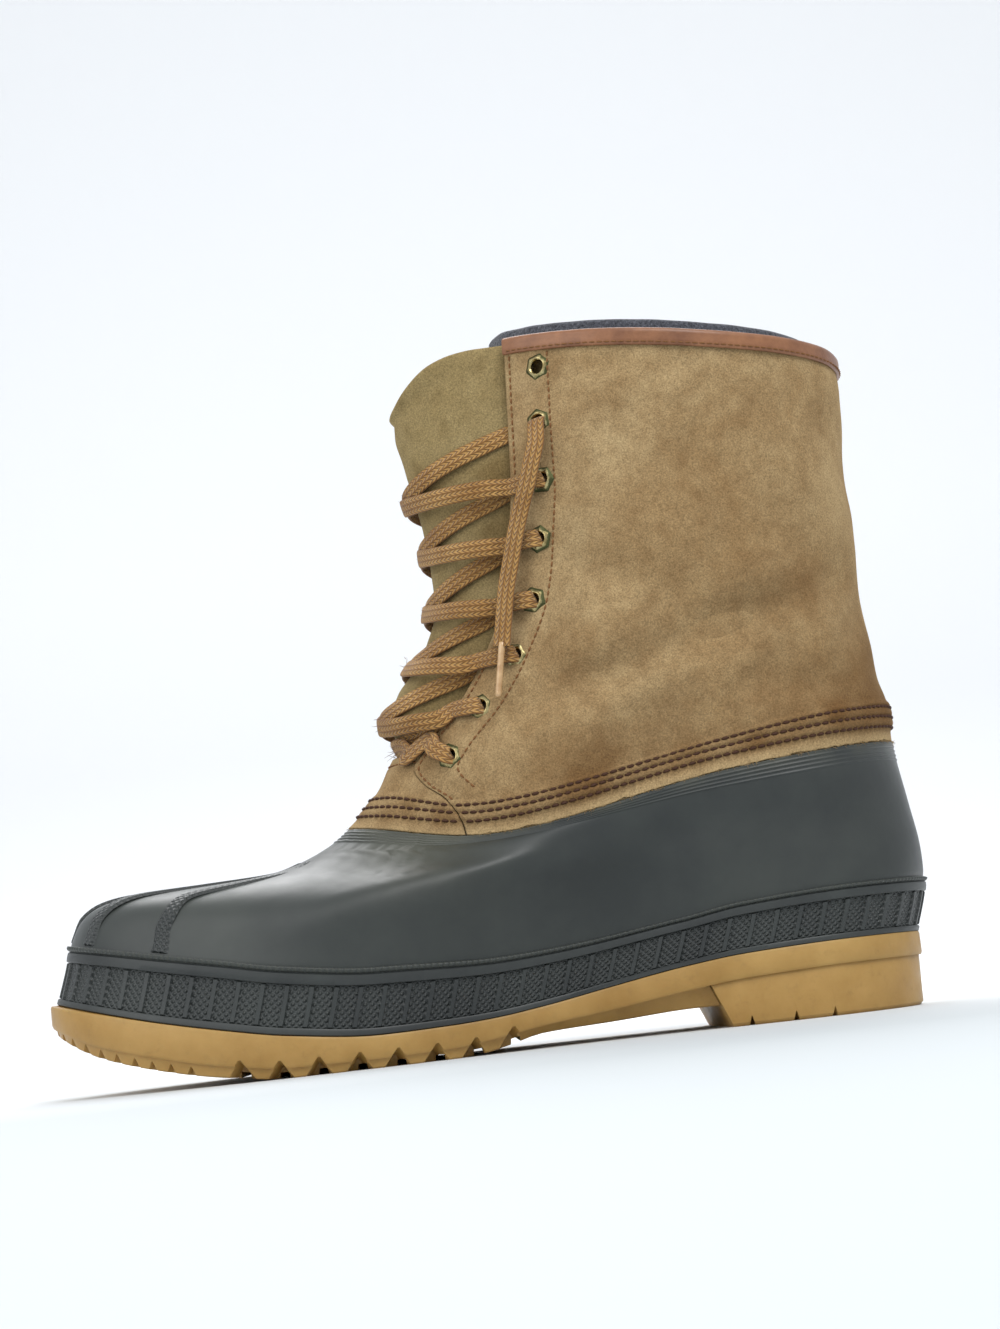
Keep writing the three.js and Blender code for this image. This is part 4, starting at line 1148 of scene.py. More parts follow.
def groove_blocks():
    blocks = []
    x = to_x(NOTCH_START)
    while x < to_x(NOTCH_CHANGE):
        z = float(tread_height(to_share(x)))
        slope = float(tread_height(to_share(x + 1))) - z
        half = GROOVE_WIDTH / 2
        blocks.append(side_prism([
            (x - half - 0.6, z - NOTCH_SINK), (x + half + 0.6, z - NOTCH_SINK),
            (x + half, z + half * slope + GROOVE_DEPTH), (x - half, z - half * slope + GROOVE_DEPTH),
        ]))
        x += NOTCH_PITCH
    return blocks


def breast_block(gap, ahead):
    """The space ahead of the heel's slanted breast, or behind it."""
    top = HEEL_HEIGHT + 30
    foot = to_x(BREAST_AT) + gap
    far = SOLE_LENGTH + 30 if ahead else -120
    return [side_prism([
        (foot - 30 * BREAST_SLOPE, -30), (far, -30), (far, top), (foot + top * BREAST_SLOPE, top),
    ])]


def add_outsole():
    def inset(share):
        return SOLE_STEP * edge_line(5, share)

    plate = filled("outsole_gum", [
        sole_row(lambda s: rim_height(s) + 0.35, lambda s: 0 * s),
        sole_row(lambda s: rim_height(s) + 0.2, lambda s: lip_at(s) - 0.3),
        sole_row(lambda s: rim_height(s) - 0.5, lip_at),
        sole_row(lambda s: wall_height(s) + 1.0, lip_at),
        sole_row(wall_height, lambda s: lip_at(s) - 0.4),
    ])
    under = filled("outsole_under", [
        sole_row(lambda s: wall_height(s) + 1, lambda s: lip_at(s) - inset(s)),
        sole_row(lambda s: tread_height(s) + 0.5, lambda s: lip_at(s) - 1.5 * inset(s)),
        sole_row(tread_height, lambda s: lip_at(s) - 1.6 * inset(s) - 0.4),
    ])
    carve(under, cutter("heel_space", breast_block(FIT_GAP, False)))
    carve(plate, under, "UNION")
    carve(plate, cutter("edge_notches", notch_blocks()))
    carve(plate, cutter("tread_grooves", groove_blocks()))
    soften(plate, 0.35)
    finish_piece(plate, gum, "gum", "outsole")

    block = filled("heel_gum", [
        sole_row(lambda s: wall_height(s) + 0.5, lambda s: SOLE_LIP - HEEL_INSET + 0 * s),
        sole_row(lambda s: HEEL_BEVEL + 0 * s, lambda s: SOLE_LIP - 1.5 * HEEL_INSET + 0 * s),
        sole_row(lambda s: 0 * s, lambda s: SOLE_LIP - 1.5 * HEEL_INSET - HEEL_BEVEL + 0 * s),
    ])
    carve(block, cutter("sole_space", breast_block(0, True)))
    blocks = []
    for place in HEEL_NOTCH_TURNS:
        for at in (place, 1 - place):
            edge, normal = edge_at(at)
            edge[2] = 0
            blocks.append(notch_block(edge, normal, NOTCH_DEPTH, 0.4 * NOTCH_PITCH, TOE_NOTCH_RISE))
    carve(block, cutter("heel_notches", blocks))
    soften(block, 0.4)
    finish_piece(block, gum, "gum", "heel")


def soften(obj, width_mm):
    bevel = obj.modifiers.new("soft_edges", "BEVEL")
    bevel.width = width_mm * MM
    bevel.segments = 2
    bevel.limit_method = "ANGLE"
    bevel.angle_limit = math.radians(28)
    bevel.use_clamp_overlap = True
    graph = bpy.context.evaluated_depsgraph_get()
    mesh = bpy.data.meshes.new_from_object(obj.evaluated_get(graph))
    obj.modifiers.clear()
    obj.data = mesh
    mesh.shade_smooth()
    mesh.set_sharp_from_angle(angle=math.radians(32))


add_outsole()

# Rubber lower, with fine lines under its top edge and knurled stripes over the toe

LOWER_TURNS = 400
TOP_BAND = 9.0
LINE_PLACES = (1.6, 3.2, 4.8, 6.4)

# Where the rubber creases as the foot bends: middle and half width, along and up

CREASE_AT = ((138, 22), (74, 13))


def lower_levels(turn):
    """Rows of levels: even below, close together under the top edge."""
    sample = np.linspace(SEAM_LEVEL, SEAM_LEVEL - 3, 120)
    grid = form_point(sample[:, None], turn[None, :])
    depth = run_length(grid)
    deep = np.linspace(0, TOP_BAND, 40)
    top = np.array([np.interp(deep, depth[:, i], sample) for i in range(len(turn))]).T
    low = np.linspace(0, 1, 80)[:, None] * (top[-1] - 1.05)[None, :] + 1.05
    levels = np.vstack([low[:-1], top[::-1]])
    depths = np.vstack([np.full((79, len(turn)), 99.0), np.repeat(deep[::-1, None], len(turn), axis=1)])
    return levels, depths


def evened(points, rounds):
    """Points drawn towards the ones above and below, except at both ends."""
    rows = len(points)
    place = np.arange(rows)
    share = (ease(0, 12, place) * ease(rows - 1, rows - 30, place))[1:-1, None, None]
    even = points.copy()
    for _ in range(rounds):
        even[1:-1] += share * 0.5 * ((even[2:] + even[:-2]) / 2 - even[1:-1])
    return even


def add_lower():
    turn = np.arange(LOWER_TURNS) / LOWER_TURNS
    levels, depth = lower_levels(turn)
    out = np.zeros_like(levels)
    for place in LINE_PLACES:
        out += 0.32 * dip(depth, place, 0.34)
    turns = np.repeat(turn[None, :], len(levels), axis=0)
    rest = form_point(levels, turns)
    smoothed = evened(rest, 70)
    creased = dip(rest[..., 0], *CREASE_AT[0]) * dip(rest[..., 2], *CREASE_AT[1])
    out += 0.22 * creased * waves(rest * np.array([1.6, 1, 1]), 5.5, 5)
    out += 0.25 * waves(rest, 60, 6)
    outer = skin(levels, turns, out) + smoothed - rest
    inside = [
        (SEAM_LEVEL, -0.25), (SEAM_LEVEL, -1.4), (SEAM_LEVEL, -SUEDE - FIT_GAP),
        (9.7, -SUEDE - FIT_GAP), (9.7, -SUEDE - FIT_GAP - RUBBER_WALL),
        *((level, -RUBBER_WALL) for level in (8.5, 7, 5, 3.5, 1.5)),
        (0.9, -BAND_WALL - FIT_GAP - RUBBER_WALL),
    ]
    rows = np.concatenate([outer, np.array([ring_at(turn, *place) for place in inside])])
    stain_and_shade = np.zeros(rows.shape[:2])
    stain_and_shade[:len(levels)] = 0.5 * ease(7, 0, depth) * (0.5 + 0.5 * waves(rest, 14, 3)) + creased * 0.8
    lower = grid_mesh("rubber_lower_shell", rows, closed=True, values={"stain_and_shade": stain_and_shade}, flip=True)
    finish_piece(lower, rubber, "rubber", "rubber_lower")


def add_stripes():
    parts_points, parts_uv, parts_panel, faces, base = [], [], [], [], 0
    rows, cols = 110, 15
    for place in (-2, -1, 0, 1, 2):
        share = np.linspace(0, 1, rows)
        level = along(np.arange(8) / 7, np.array([1.15, 2, 3, 4, 5, 6, 7, 8]), share)
        turn = 0.5 + place * (STRIPE_FOOT + (STRIPE_SPREAD - STRIPE_FOOT) * share ** STRIPE_BEND)
        middle = form_point(level, turn)
        speed = np.linalg.norm(form_point(level, turn + 0.002) - middle, axis=1) / 0.002
        half = STRIPE_WIDTH * (0.55 + 0.45 * (1 - share)) / 2
        across = np.linspace(-1.12, 1.12, cols)
        turns = turn[:, None] + across[None, :] * (half / speed)[:, None]
        edge = 1 - ease(0.82, 1.08, np.abs(across))
        ends = ease(0, 0.03, share) * (1 - ease(0.96, 1, share))
        height = -0.25 + (STRIPE_HEIGHT + 0.25) * edge[None, :] * ends[:, None]
        parts_points.append(skin(np.repeat(level[:, None], cols, axis=1), turns, height))
        run = run_length(middle)
        uv = np.stack([np.repeat(run[:, None], cols, axis=1), across[None, :] * half[:, None]], axis=-1)
        parts_uv.append(uv)
        parts_panel.append(np.repeat(edge[None, :], rows, axis=0))
        faces += grid_faces(rows, cols, base=base)
        base += rows * cols
    flat_uv = np.concatenate([uv.reshape(-1, 2) for uv in parts_uv])
    points = np.concatenate([p.reshape(-1, 3) for p in parts_points])
    panel = np.concatenate([p.ravel() for p in parts_panel])
    corner_uv = flat_uv[np.array(faces)]
    stripes = make_mesh("toe_stripes", points, faces, corner_uv, {"panel": panel})
    finish_piece(stripes, knurled, "rubber")


add_lower()
add_stripes()

# Foxing band: knurled panels between ribs, and a roped bead on top


def even_turns(level, spacing_mm):
    """Turns at a whole number of even steps round one level, from the back."""
    fine = np.arange(2881) / 2880
    points = form_point(level, fine)
    length = run_length(points)
    count = int(round(length[-1] / spacing_mm))
    return fine, length, count


def add_band():
    fine, length, count = even_turns(0.44, RIB_PITCH)
    pitch = length[-1] / count
    offsets = np.array([-0.95, -0.7, 0.0, 0.7, 0.95, 2.6, 4.1, 5.6])
    run = (np.arange(count)[:, None] * pitch + offsets[None, :] * pitch / RIB_PITCH).ravel()
    ribbed = np.tile(np.array([0, 1, 1, 1, 0, 0, 0, 0], float), count)
    turn = np.interp(run % length[-1], length, fine)
    profile = np.array([
        (0.02, -BAND_WALL, 0), (0.02, 0.6, 0), (0.035, LIP_OUT, 0), (0.105, LIP_OUT, 0), (0.125, 0.7, 0),
        (0.13, 0.02, 0), (0.15, 0.0, 1), (0.25, 0, 1), (0.35, 0, 1), (0.45, 0, 1), (0.55, 0, 1),
        (0.65, 0, 1), (0.73, 0, 1), (0.75, 0.02, 0), (0.755, 0.7, 0), (0.77, LIP_OUT, 0),
        (0.85, LIP_OUT + 0.05, 0), (0.91, LIP_OUT - 0.1, 0), (0.93, 0.3, 0), (1.06, 0.2, 0),
        (1.06, -BAND_WALL, 0),
    ])
    level = np.repeat(profile[:, :1], len(turn), axis=1)
    turns = np.repeat(turn[None, :], len(profile), axis=0)
    out = profile[:, 1:2] + RIB_HEIGHT * ribbed[None, :] * profile[:, 2:3]
    points = skin(level, turns, out)
    panel = profile[:, 2:3] * (1 - ribbed[None, :])
    side_line = form_point(profile[:, 0], np.full(len(profile), 0.25))
    rise = np.repeat(run_length(side_line)[:, None], len(turn) + 1, axis=1)
    around = np.append(run, run[0] + length[-1])
    uv = np.stack([np.repeat(around[None, :], len(profile), axis=0), rise], axis=-1)
    band = grid_mesh("foxing_band_knurled", points, closed=True, uv=uv, values={"panel": panel}, flip=True)
    band.data.set_sharp_from_angle(angle=math.radians(40))
    finish_piece(band, knurled, "rubber", "foxing_band")


def add_bead():
    fine, length, count = even_turns(1, 2.1)
    run = np.arange(count * 6) * length[-1] / (count * 6)
    turn = np.interp(run, length, fine)
    twist = 0.5 - 0.5 * np.cos(2 * np.pi * np.arange(count * 6) / 6)
    around = np.linspace(-0.15 * np.pi, 1.15 * np.pi, 9)
    middle, half = 0.995, 0.062
    level = middle + half * np.cos(around)
    swell = np.maximum(np.sin(around), -0.3)
    out = 0.1 + (BEAD_HEIGHT - 0.55) * swell[:, None] + 0.42 * twist[None, :] * np.maximum(swell, 0)[:, None]
    levels = np.repeat(level[:, None], len(turn), axis=1)
    points = skin(levels, np.repeat(turn[None, :], len(around), axis=0), out)
    stain_and_shade = 0.25 * (1 - np.repeat(twist[None, :], len(around), axis=0))
    bead = grid_mesh("foxing_bead", points, closed=True, values={"stain_and_shade": stain_and_shade})
    finish_piece(bead, rubber, "rubber", "foxing_band")


add_band()
add_bead()

# Suede shaft

SHAFT_START = SEAM_LEVEL + 0.04
STITCH_LINES = (5.0, 8.6, 12.2)
FACING_STITCH = (2.2, 18.5)

# Threads: pitch, length and radius of a stitch

SEAM_THREAD = (3.1, 2.7, 0.55)
FACING_THREAD = (2.6, 2.0, 0.34)
BINDING_THREAD = (2.6, 2.0, 0.28)
THROAT_THREAD = (2.4, 1.9, 0.3)

# Creases over the ankle: ends as distance behind the facing's edge and height, depth, half width

CREASES = (
    (30, 118, 128, 150, 2.6, 10), (60, 150, 120, 128, 2.0, 11), (96, 170, 150, 138, 1.8, 12),
    (20, 168, 62, 150, 1.2, 8), (110, 210, 150, 196, 1.1, 13), (40, 205, 90, 190, 0.9, 13),
    (118, 118, 160, 112, 1.8, 7), (24, 132, 60, 120, 1.4, 7),
)


def shaft_grid(rows, cols):
    """Levels and turns from one facing edge round the back to the other."""
    level = SHAFT_START + (COLLAR_LEVEL - SHAFT_START) * np.linspace(0, 1, rows)
    end = facing_turn(level)
    side = np.linspace(-1, 1, cols)
    return np.repeat(level[:, None], cols, axis=1), end[:, None] * side[None, :]


def add_shaft():
    rows, cols = 190, 330
    level, turn = shaft_grid(rows, cols)
    rest = form_point(level, turn)
    up = run_length(rest)
    run = run_length(rest.transpose(1, 0, 2)).T
    whole = run[:, -1:]
    behind = np.minimum(run, whole - run)
    out = 0.45 * waves(rest, 55, 11) + 0.18 * waves(rest, 18, 12)
    for a, za, b, zb, depth, width in CREASES:
        start, finish = np.array([a, za]), np.array([b, zb])
        place = np.stack([behind, rest[..., 2]], axis=-1)
        way = finish - start
        share = np.clip(((place - start) @ way) / (way @ way), 0, 1)
        gap = np.linalg.norm(place - start - share[..., None] * way, axis=-1)
        fade = 0.35 + 0.65 * np.sin(np.pi * (0.1 + 0.8 * share))
        out -= 1.6 * depth * fade * (np.exp(-(gap / width) ** 2) - 0.55 * np.exp(-(gap / (2.2 * width)) ** 2))
    calm = ease(0, 10, up) * ease(0, 22, behind) * ease(0, 12, up[-1:] - up)
    out *= calm
    puff = np.zeros_like(out)
    for place in STITCH_LINES:
        puff -= 0.8 * dip(up, place, 0.7)
    puff += 1.05 * ease(3.4, 5.4, up) * ease(15.5, 12.6, up)
    ruffle = 0.14 * np.sin(run * 2 * np.pi / SEAM_THREAD[0]) * ease(3.4, 5, up) * ease(15.5, 12.6, up)
    out += puff * np.ones_like(out) + ruffle
    out += 0.35 * ease(20, 18.5, behind) * ease(14, 18, up)
    for place in FACING_STITCH:
        out -= 0.28 * dip(behind, place, 0.7) * ease(14, 18, up)
    ragged = 0.5 * waves(rest[0], 5, 21) + 0.35 * waves(rest[0], 1.7, 22)
    outer = skin(level, turn, out)
    outer[0] += np.array([0, 0, 1.0]) * ragged[:, None] * 0.7
    stain_and_shade = 0.55 * ease(34, 6, up) * (0.7 + 0.3 * waves(rest, 16, 31))
    stain_and_shade += 0.4 * ease(0.0, 1.2, waves(rest, 46, 32)) * ease(200, 120, rest[..., 2])
    stain_and_shade += 0.2 * ease(0.1, 1.2, waves(rest, 26, 33))
    # Painted shade: darker further behind the facing, fading out towards the collar
    stain_and_shade += 0.42 * ease(35, 110, behind) * ease(245, 130, rest[..., 2]) * (0.75 + 0.25 * waves(rest, 60, 36))
    # Painted highlight: lighter patches towards the top and along the facing edge; the lower cut edge is
    # lighter with wear
    wear_and_highlight = 0.6 * ease(0.35, 1.0, waves(rest, 60, 34)) * ease(130, 210, rest[..., 2])
    wear_and_highlight += 0.45 * ease(0.2, 0.9, waves(rest, 22, 35)) * ease(40, 4, behind)
    wear_and_highlight += 0.5 * ease(5, 0.5, up)
    stain_and_shade *= 1 - 0.8 * ease(5, 0.5, up)
    sheets = add_shell("shaft_suede", outer, level, turn, out, stain_and_shade, wear_and_highlight)
    finish_piece(sheets, suede, "suede", "shaft")
    return level, turn, out, up, run


def add_shell(name, outer, level, turn, out, stain_and_shade, wear_and_highlight):
    """A sheet of suede: its outer face, its rounded cut edges and a plain inner face."""
    rows, cols = level.shape
    lips = ((0.0, -0.4), (0.15, -1.2), (0.0, -SUEDE))

    def framed(values, edge_values):
        wide = np.concatenate([
            *[edge_values(values[:, :1], lip) for lip in reversed(lips)], values,
            *[edge_values(values[:, -1:], lip) for lip in lips],
        ], axis=1)
        return np.concatenate([
            *[edge_values(wide[:1], lip) for lip in reversed(lips)], wide,
            *[edge_values(wide[-1:], lip) for lip in lips],
        ], axis=0)

    levels = framed(level, lambda v, lip: v)
    turns = framed(turn, lambda v, lip: v)
    outs = framed(out, lambda v, lip: v * 0 + lip[1])
    points = skin(levels, turns, outs)
    n = len(lips)
    points[n:n + rows, n:n + cols] = outer
    stains_and_shade = framed(stain_and_shade, lambda v, lip: v * 0.5)
    wear_and_highlights = framed(wear_and_highlight, lambda v, lip: v * 0 + 0.9)
    shell = grid_mesh(name, points, values={"stain_and_shade": stains_and_shade, "wear_and_highlight": wear_and_highlights})
    open_eyelets(shell)
    picked_rows = np.append(np.arange(0, rows - 1, 2), rows - 1)
    picked_cols = np.append(np.arange(0, cols - 1, 2), cols - 1)
    inner_level = level[np.ix_(picked_rows, picked_cols)]
    inner_turn = turn[np.ix_(picked_rows, picked_cols)]
    back = grid_mesh(name + "_back", skin(inner_level, inner_turn, -SUEDE + 0 * inner_level), flip=True,
                     values={"stain_and_shade": 0.3 + 0 * inner_level, "wear_and_highlight": 0 * inner_level})
    open_eyelets(back)
    finish_piece(back, suede, "suede")
    return shell


def open_eyelets(sheet):
    """Takes out the faces inside each eyelet's barrel."""
    work = bmesh.new()
    work.from_mesh(sheet.data)
    middles = np.array([face.calc_center_median() for face in work.faces]) / MM
    inside = np.zeros(len(middles), bool)
    for centre, normal, _, _ in EYELETS.values():
        from_centre = middles - centre
        depth = from_centre @ normal
        reach = np.linalg.norm(from_centre - depth[:, None] * normal, axis=1)
        inside |= (reach < EYELET_BARREL + 0.5) & (np.abs(depth) < 3 * SUEDE)
    work.faces.ensure_lookup_table()
    doomed = [work.faces[i] for i in np.flatnonzero(inside)]
    bmesh.ops.delete(work, geom=doomed, context="FACES")
    work.to_mesh(sheet.data)
    work.free()


shaft_level, shaft_turn, shaft_out, shaft_up, shaft_run = add_shaft()

# Throat piece


def add_throat():
    rows, cols = 60, 120
    gap = 0.0012
    side = np.linspace(-1, 1, cols)
    base = np.full(cols, SHAFT_START)
    top_z = THROAT_PIECE_TOP * SHAFT_HEIGHT
    top_end = facing_turn(np.array([10.6]))[0] + gap
    turn_top = 0.5 + side * (0.5 - top_end)
    top = level_at(top_z - 1.2 * side ** 2, turn_top)
    share = np.linspace(0, 1, rows)[:, None]
    level = base[None, :] + (top - base)[None, :] * share
    end = facing_turn(level[:, :1].ravel())[:, None] + gap
    end_other = facing_turn(level[:, -1:].ravel())[:, None] + gap
    half = 0.5 - (end + end_other) / 2
    turn = 0.5 + side[None, :] * half
    rest = form_point(level, turn)
    up = run_length(rest)
    out = 0.2 * waves(rest, 14, 41) * ease(0, 3, up[-1:] - up)
    for place in STITCH_LINES:
        out -= 0.5 * dip(up, place, 0.75)
    out += 0.65 * ease(3.4, 5.4, up) * ease(15.5, 12.6, up)
    out -= 0.3 * dip(up[-1:] - up, 3.0, 0.6)
    outer = skin(level, turn, out)
    stain_and_shade = 0.7 * ease(24, 6, up) * (0.6 + 0.4 * waves(rest, 12, 42))
    wear_and_highlight = 0.5 * ease(3, 0.5, up[-1:] - up) + 0.4 * ease(5, 0.5, up)
    shell = add_shell("throat_suede", outer, level, turn, out, stain_and_shade, wear_and_highlight)
    finish_piece(shell, suede, "suede", "throat_piece")
    return level, turn, out, up


throat_level, throat_turn, throat_out, throat_up = add_throat()

# Tongue


def add_tongue():
    rows, bend = 110, 61
    at = np.linspace(TONGUE_ROWS[0, 0], TONGUE_ROWS[-1, 0], rows)
    outer, inner = [], []
    for height in at:
        level, turn = tongue_edge(height)
        speed = np.linalg.norm(form_point(level, turn) - form_point(level, turn - 0.005)) / 0.005
        tucks = np.linspace(1, 0.08, 12) * TONGUE_TUCK / speed
        across = np.linspace(1, -1, bend)
        for out, store in ((0.0, outer), (-TONGUE_WALL, inner)):
            near = skin(level + 0 * tucks, turn - tucks, out - TONGUE_DEPTH + 0 * tucks)
            middle = tongue_points(height, across, out + 0 * across)
            far = skin(level + 0 * tucks, 1 - turn + tucks[::-1], out - TONGUE_DEPTH + 0 * tucks)
            store.append(np.vstack([near, middle, far]))
    outer, inner = np.array(outer), np.array(inner)
    away = unit(outer - inner)
    swell = 0.5 * waves(outer, 34, 51) + 0.2 * waves(outer, 12, 52)
    edge = np.abs(np.linspace(-1, 1, outer.shape[1]))
    calm = ease(1.0, 0.55, edge)[None, :] * ease(0.42, 0.55, at)[:, None]
    roll = 1.6 * ease(1.02, 1.06, at)[:, None] * ease(0.75, 0.4, edge)[None, :]
    move = away * (np.clip(swell, -0.7, 0.7) * calm + roll)[..., None]
    outer, inner = outer + move, inner + move
    middle = (outer + inner) / 2
    half = (outer - inner) / 2
    loop = np.concatenate([
        np.array([middle[0], middle[0] + half[0] * 0.8]), outer,
        np.array([middle[-1] + half[-1] * 0.8 + [0, 0, 0.7], middle[-1] + [0, 0, 0.9],
                  middle[-1] - half[-1] * 0.8 + [0, 0, 0.7]]),
        inner[::-1], np.array([middle[0] - half[0] * 0.8, middle[0]]),
    ])
    stain_and_shade = 0.6 * ease(0.2, 1, waves(loop, 40, 53)) + 0.35 * ease(0.3, 1, waves(loop, 9, 54))
    wear_and_highlight = 0.5 * ease(0.3, 1, waves(loop, 30, 55)) + 0.4 * ease(240, 252, loop[..., 2])
    tongue = grid_mesh("tongue_suede", loop, values={"stain_and_shade": stain_and_shade, "wear_and_highlight": wear_and_highlight}, flip=True)
    finish_piece(tongue, flat_suede, "tongue_suede", "tongue")


add_tongue()

# Collar binding


def binding_frame(turn):
    top = form_point(COLLAR_LEVEL, turn)
    rise = unit(top - form_point(COLLAR_LEVEL - 0.5, turn))
    return top, rise, form_normal(COLLAR_LEVEL, turn)


BINDING_END = float(facing_turn(np.array([COLLAR_LEVEL - 0.05]))[0])


def add_binding():
    turn = BINDING_END * np.linspace(-1, 1, 260)
    top, rise, normal = binding_frame(turn)
    outside = FIT_GAP + BINDING_WALL
    inside = -SUEDE - FIT_GAP - BINDING_WALL
    height = FIT_GAP + BINDING_WALL
    profile = [
        (FIT_GAP, -BINDING_HEIGHT + 0.1), (outside - 0.3, -BINDING_HEIGHT), (outside, -BINDING_HEIGHT + 0.5),
        (outside + 0.12, -2.6), (outside + 0.02, -1.6), (outside + 0.1, -0.6), (outside, 0.3),
        (outside - 0.5, height - 0.3), (outside - 1.3, height),
        ((outside + inside) / 2, height + 0.1), (inside + 1.3, height),
        (inside + 0.5, height - 0.3), (inside, 0.3), (inside, -2.6), (inside, -BINDING_HEIGHT + 0.4),
        (inside + 0.4, -BINDING_HEIGHT), (-SUEDE - FIT_GAP, -BINDING_HEIGHT + 0.1),
    ]
    wobble = 0.12 * waves(top, 9, 61)
    rows = [top + normal * (out + wobble)[:, None] + rise * up for out, up in profile]
    binding = grid_mesh("collar_binding_leather", np.array(rows), flip=True)
    finish_piece(binding, binding_leather, "binding", "collar_binding")


add_binding()

# Stitches


def stitch_parts(points, normals, pitch, length, radius):
    """Short rounded threads along a line, dipping into the leather at their ends."""
    run = run_length(points)
    parts = []
    count = max(int(run[-1] / pitch), 1)
    step = run[-1] / count
    for i in range(count):
        at = np.linspace((i + 0.5) * step - length / 2, (i + 0.5) * step + length / 2, 5)
        line = np.stack([np.interp(at, run, points[:, c]) for c in range(3)], axis=1)
        away = unit(np.stack([np.interp(at, run, normals[:, c]) for c in range(3)], axis=1))
        lift = np.array([-0.35, 0.55, 0.8, 0.55, -0.35]) * radius
        thick = np.array([0.55, 0.95, 1.0, 0.95, 0.55]) * radius
        line = line + away * lift[:, None]
        ahead = unit(np.gradient(line, axis=0))
        wide = unit(np.cross(ahead, away))
        around = np.linspace(0, 2 * np.pi, 6, endpoint=False)
        ring = (wide[:, None] * np.cos(around)[None, :, None] + away[:, None] * np.sin(around)[None, :, None])
        body = line[:, None] + ring * thick[:, None, None]
        faces = grid_faces(5, 6, closed=True)
        faces.append(tuple(range(6))[::-1])
        faces.append(tuple(range(24, 30)))
        parts.append((body.reshape(-1, 3), faces))
    return parts


def line_on_sheet(level, turn, out, up, height):
    """The line at one distance above a sheet's lower edge."""
    cols = level.shape[1]
    at = [np.interp(height, up[:, c], level[:, c]) for c in range(cols)]
    round_at = [np.interp(height, up[:, c], turn[:, c]) for c in range(cols)]
    depth = [np.interp(height, up[:, c], out[:, c]) for c in range(cols)]
    at, round_at, depth = np.array(at), np.array(round_at), np.array(depth)
    return skin(at, round_at, depth), form_normal(at, round_at)


def add_stitches():
    seam = []
    for height in STITCH_LINES:
        for sheet in ((shaft_level, shaft_turn, shaft_out, shaft_up),
                      (throat_level, throat_turn, throat_out, throat_up)):
            points, normals = line_on_sheet(*sheet, height)
            seam += stitch_parts(points[1:-1], normals[1:-1], *SEAM_THREAD)
    finish_piece(join_meshes("seam_stitches", seam), brown_thread, "suede")

    facing = []
    for place in FACING_STITCH:
        for mirror in (False, True):
            run = shaft_run[:, -1:] - shaft_run[:, ::-1] if mirror else shaft_run
            way = -1 if mirror else 1
            rows = [r for r in range(len(run)) if shaft_up[r, 0] > (14.5 if place < 10 else 24)]
            level, turn, out = (
                np.array([np.interp(place, run[r], sheet[r][::way]) for r in rows])
                for sheet in (shaft_level, shaft_turn, shaft_out)
            )
            points, normals = skin(level, turn, out), form_normal(level, turn)
            facing += stitch_parts(points, normals, *FACING_THREAD)
    top, rise, normal = binding_frame(BINDING_END * np.linspace(-0.99, 0.99, 240))
    line = top + normal * (FIT_GAP + BINDING_WALL + 0.1) + rise * (-BINDING_HEIGHT + 1.1)
    facing += stitch_parts(line, normal, *BINDING_THREAD)
    run = throat_up[-1] - 3.0
    points = []
    for c in range(throat_level.shape[1]):
        points.append((np.interp(run[c], throat_up[:, c], throat_level[:, c]),
                       np.interp(run[c], throat_up[:, c], throat_turn[:, c])))
    level, turn = np.array(points).T
    facing += stitch_parts(skin(level, turn, -0.2 + 0 * level), form_normal(level, turn), *THROAT_THREAD)
    finish_piece(join_meshes("facing_stitches", facing), tan_thread, "suede")


add_stitches()

# Eyelets: six-sided rims over a rolled barrel


def eyelet_mesh(name, centre, normal, spin):
    side_way = unit(np.cross(normal, np.array([0.0, 0.0, 1.0])))
    other = np.cross(side_way, normal)
    around = np.linspace(0, 2 * np.pi, 48, endpoint=False)
    corner = (around + spin) % (np.pi / 3) - np.pi / 6
    hexagon = math.cos(math.pi / 6) / np.cos(corner)
    seat = 0.25
    profile = [
        (EYELET_HOLE, -SUEDE + 0.1, 0), (EYELET_HOLE - 0.05, 0.4, 0), (EYELET_HOLE + 0.15, 1.0, 0),
        (EYELET_HOLE + 0.6, seat + EYELET_RISE + 0.15, 0.2),
        (EYELET_HOLE + 1.1, seat + EYELET_RISE + 0.1, 0.8),
        (EYELET_FLANGE - 0.9, seat + 0.75, 1.0), (EYELET_FLANGE - 0.1, seat + 0.3, 1.0),
        (EYELET_FLANGE + 0.1, seat + 0.1, 1.0), (EYELET_FLANGE, seat - 0.15, 1.0),
        (EYELET_BARREL, seat - 0.2, 0.3),
    ]
    rows = []
    for radius, height, share in profile:
        reach = radius * (1 + share * (hexagon - 1))
        rows.append(centre + normal * height + (side_way * (np.cos(around) * reach)[:, None]
                                                + other * (np.sin(around) * reach)[:, None]))
    rim = np.array([[max(radius - EYELET_FLANGE + 1.4, 0)] * len(around) for radius, _, _ in profile])
    obj = grid_mesh(name, np.array(rows), closed=True, values={"rim": rim}, flip=True)
    obj.data.set_sharp_from_angle(angle=math.radians(26))
    return obj


def add_eyelets():
    for (index, side), (centre, normal, _, _) in EYELETS.items():
        label = f"eyelet_{'inner' if side > 0 else 'outer'}_{index + 1}"
        ring = eyelet_mesh(label + "_ring", centre, normal, 0.37 * index + (0.2 if side > 0 else 0.9))
        finish_piece(ring, brass, "eyelet_metal", label)


add_eyelets()

# Loose fibres along cut edges and on the worn lace


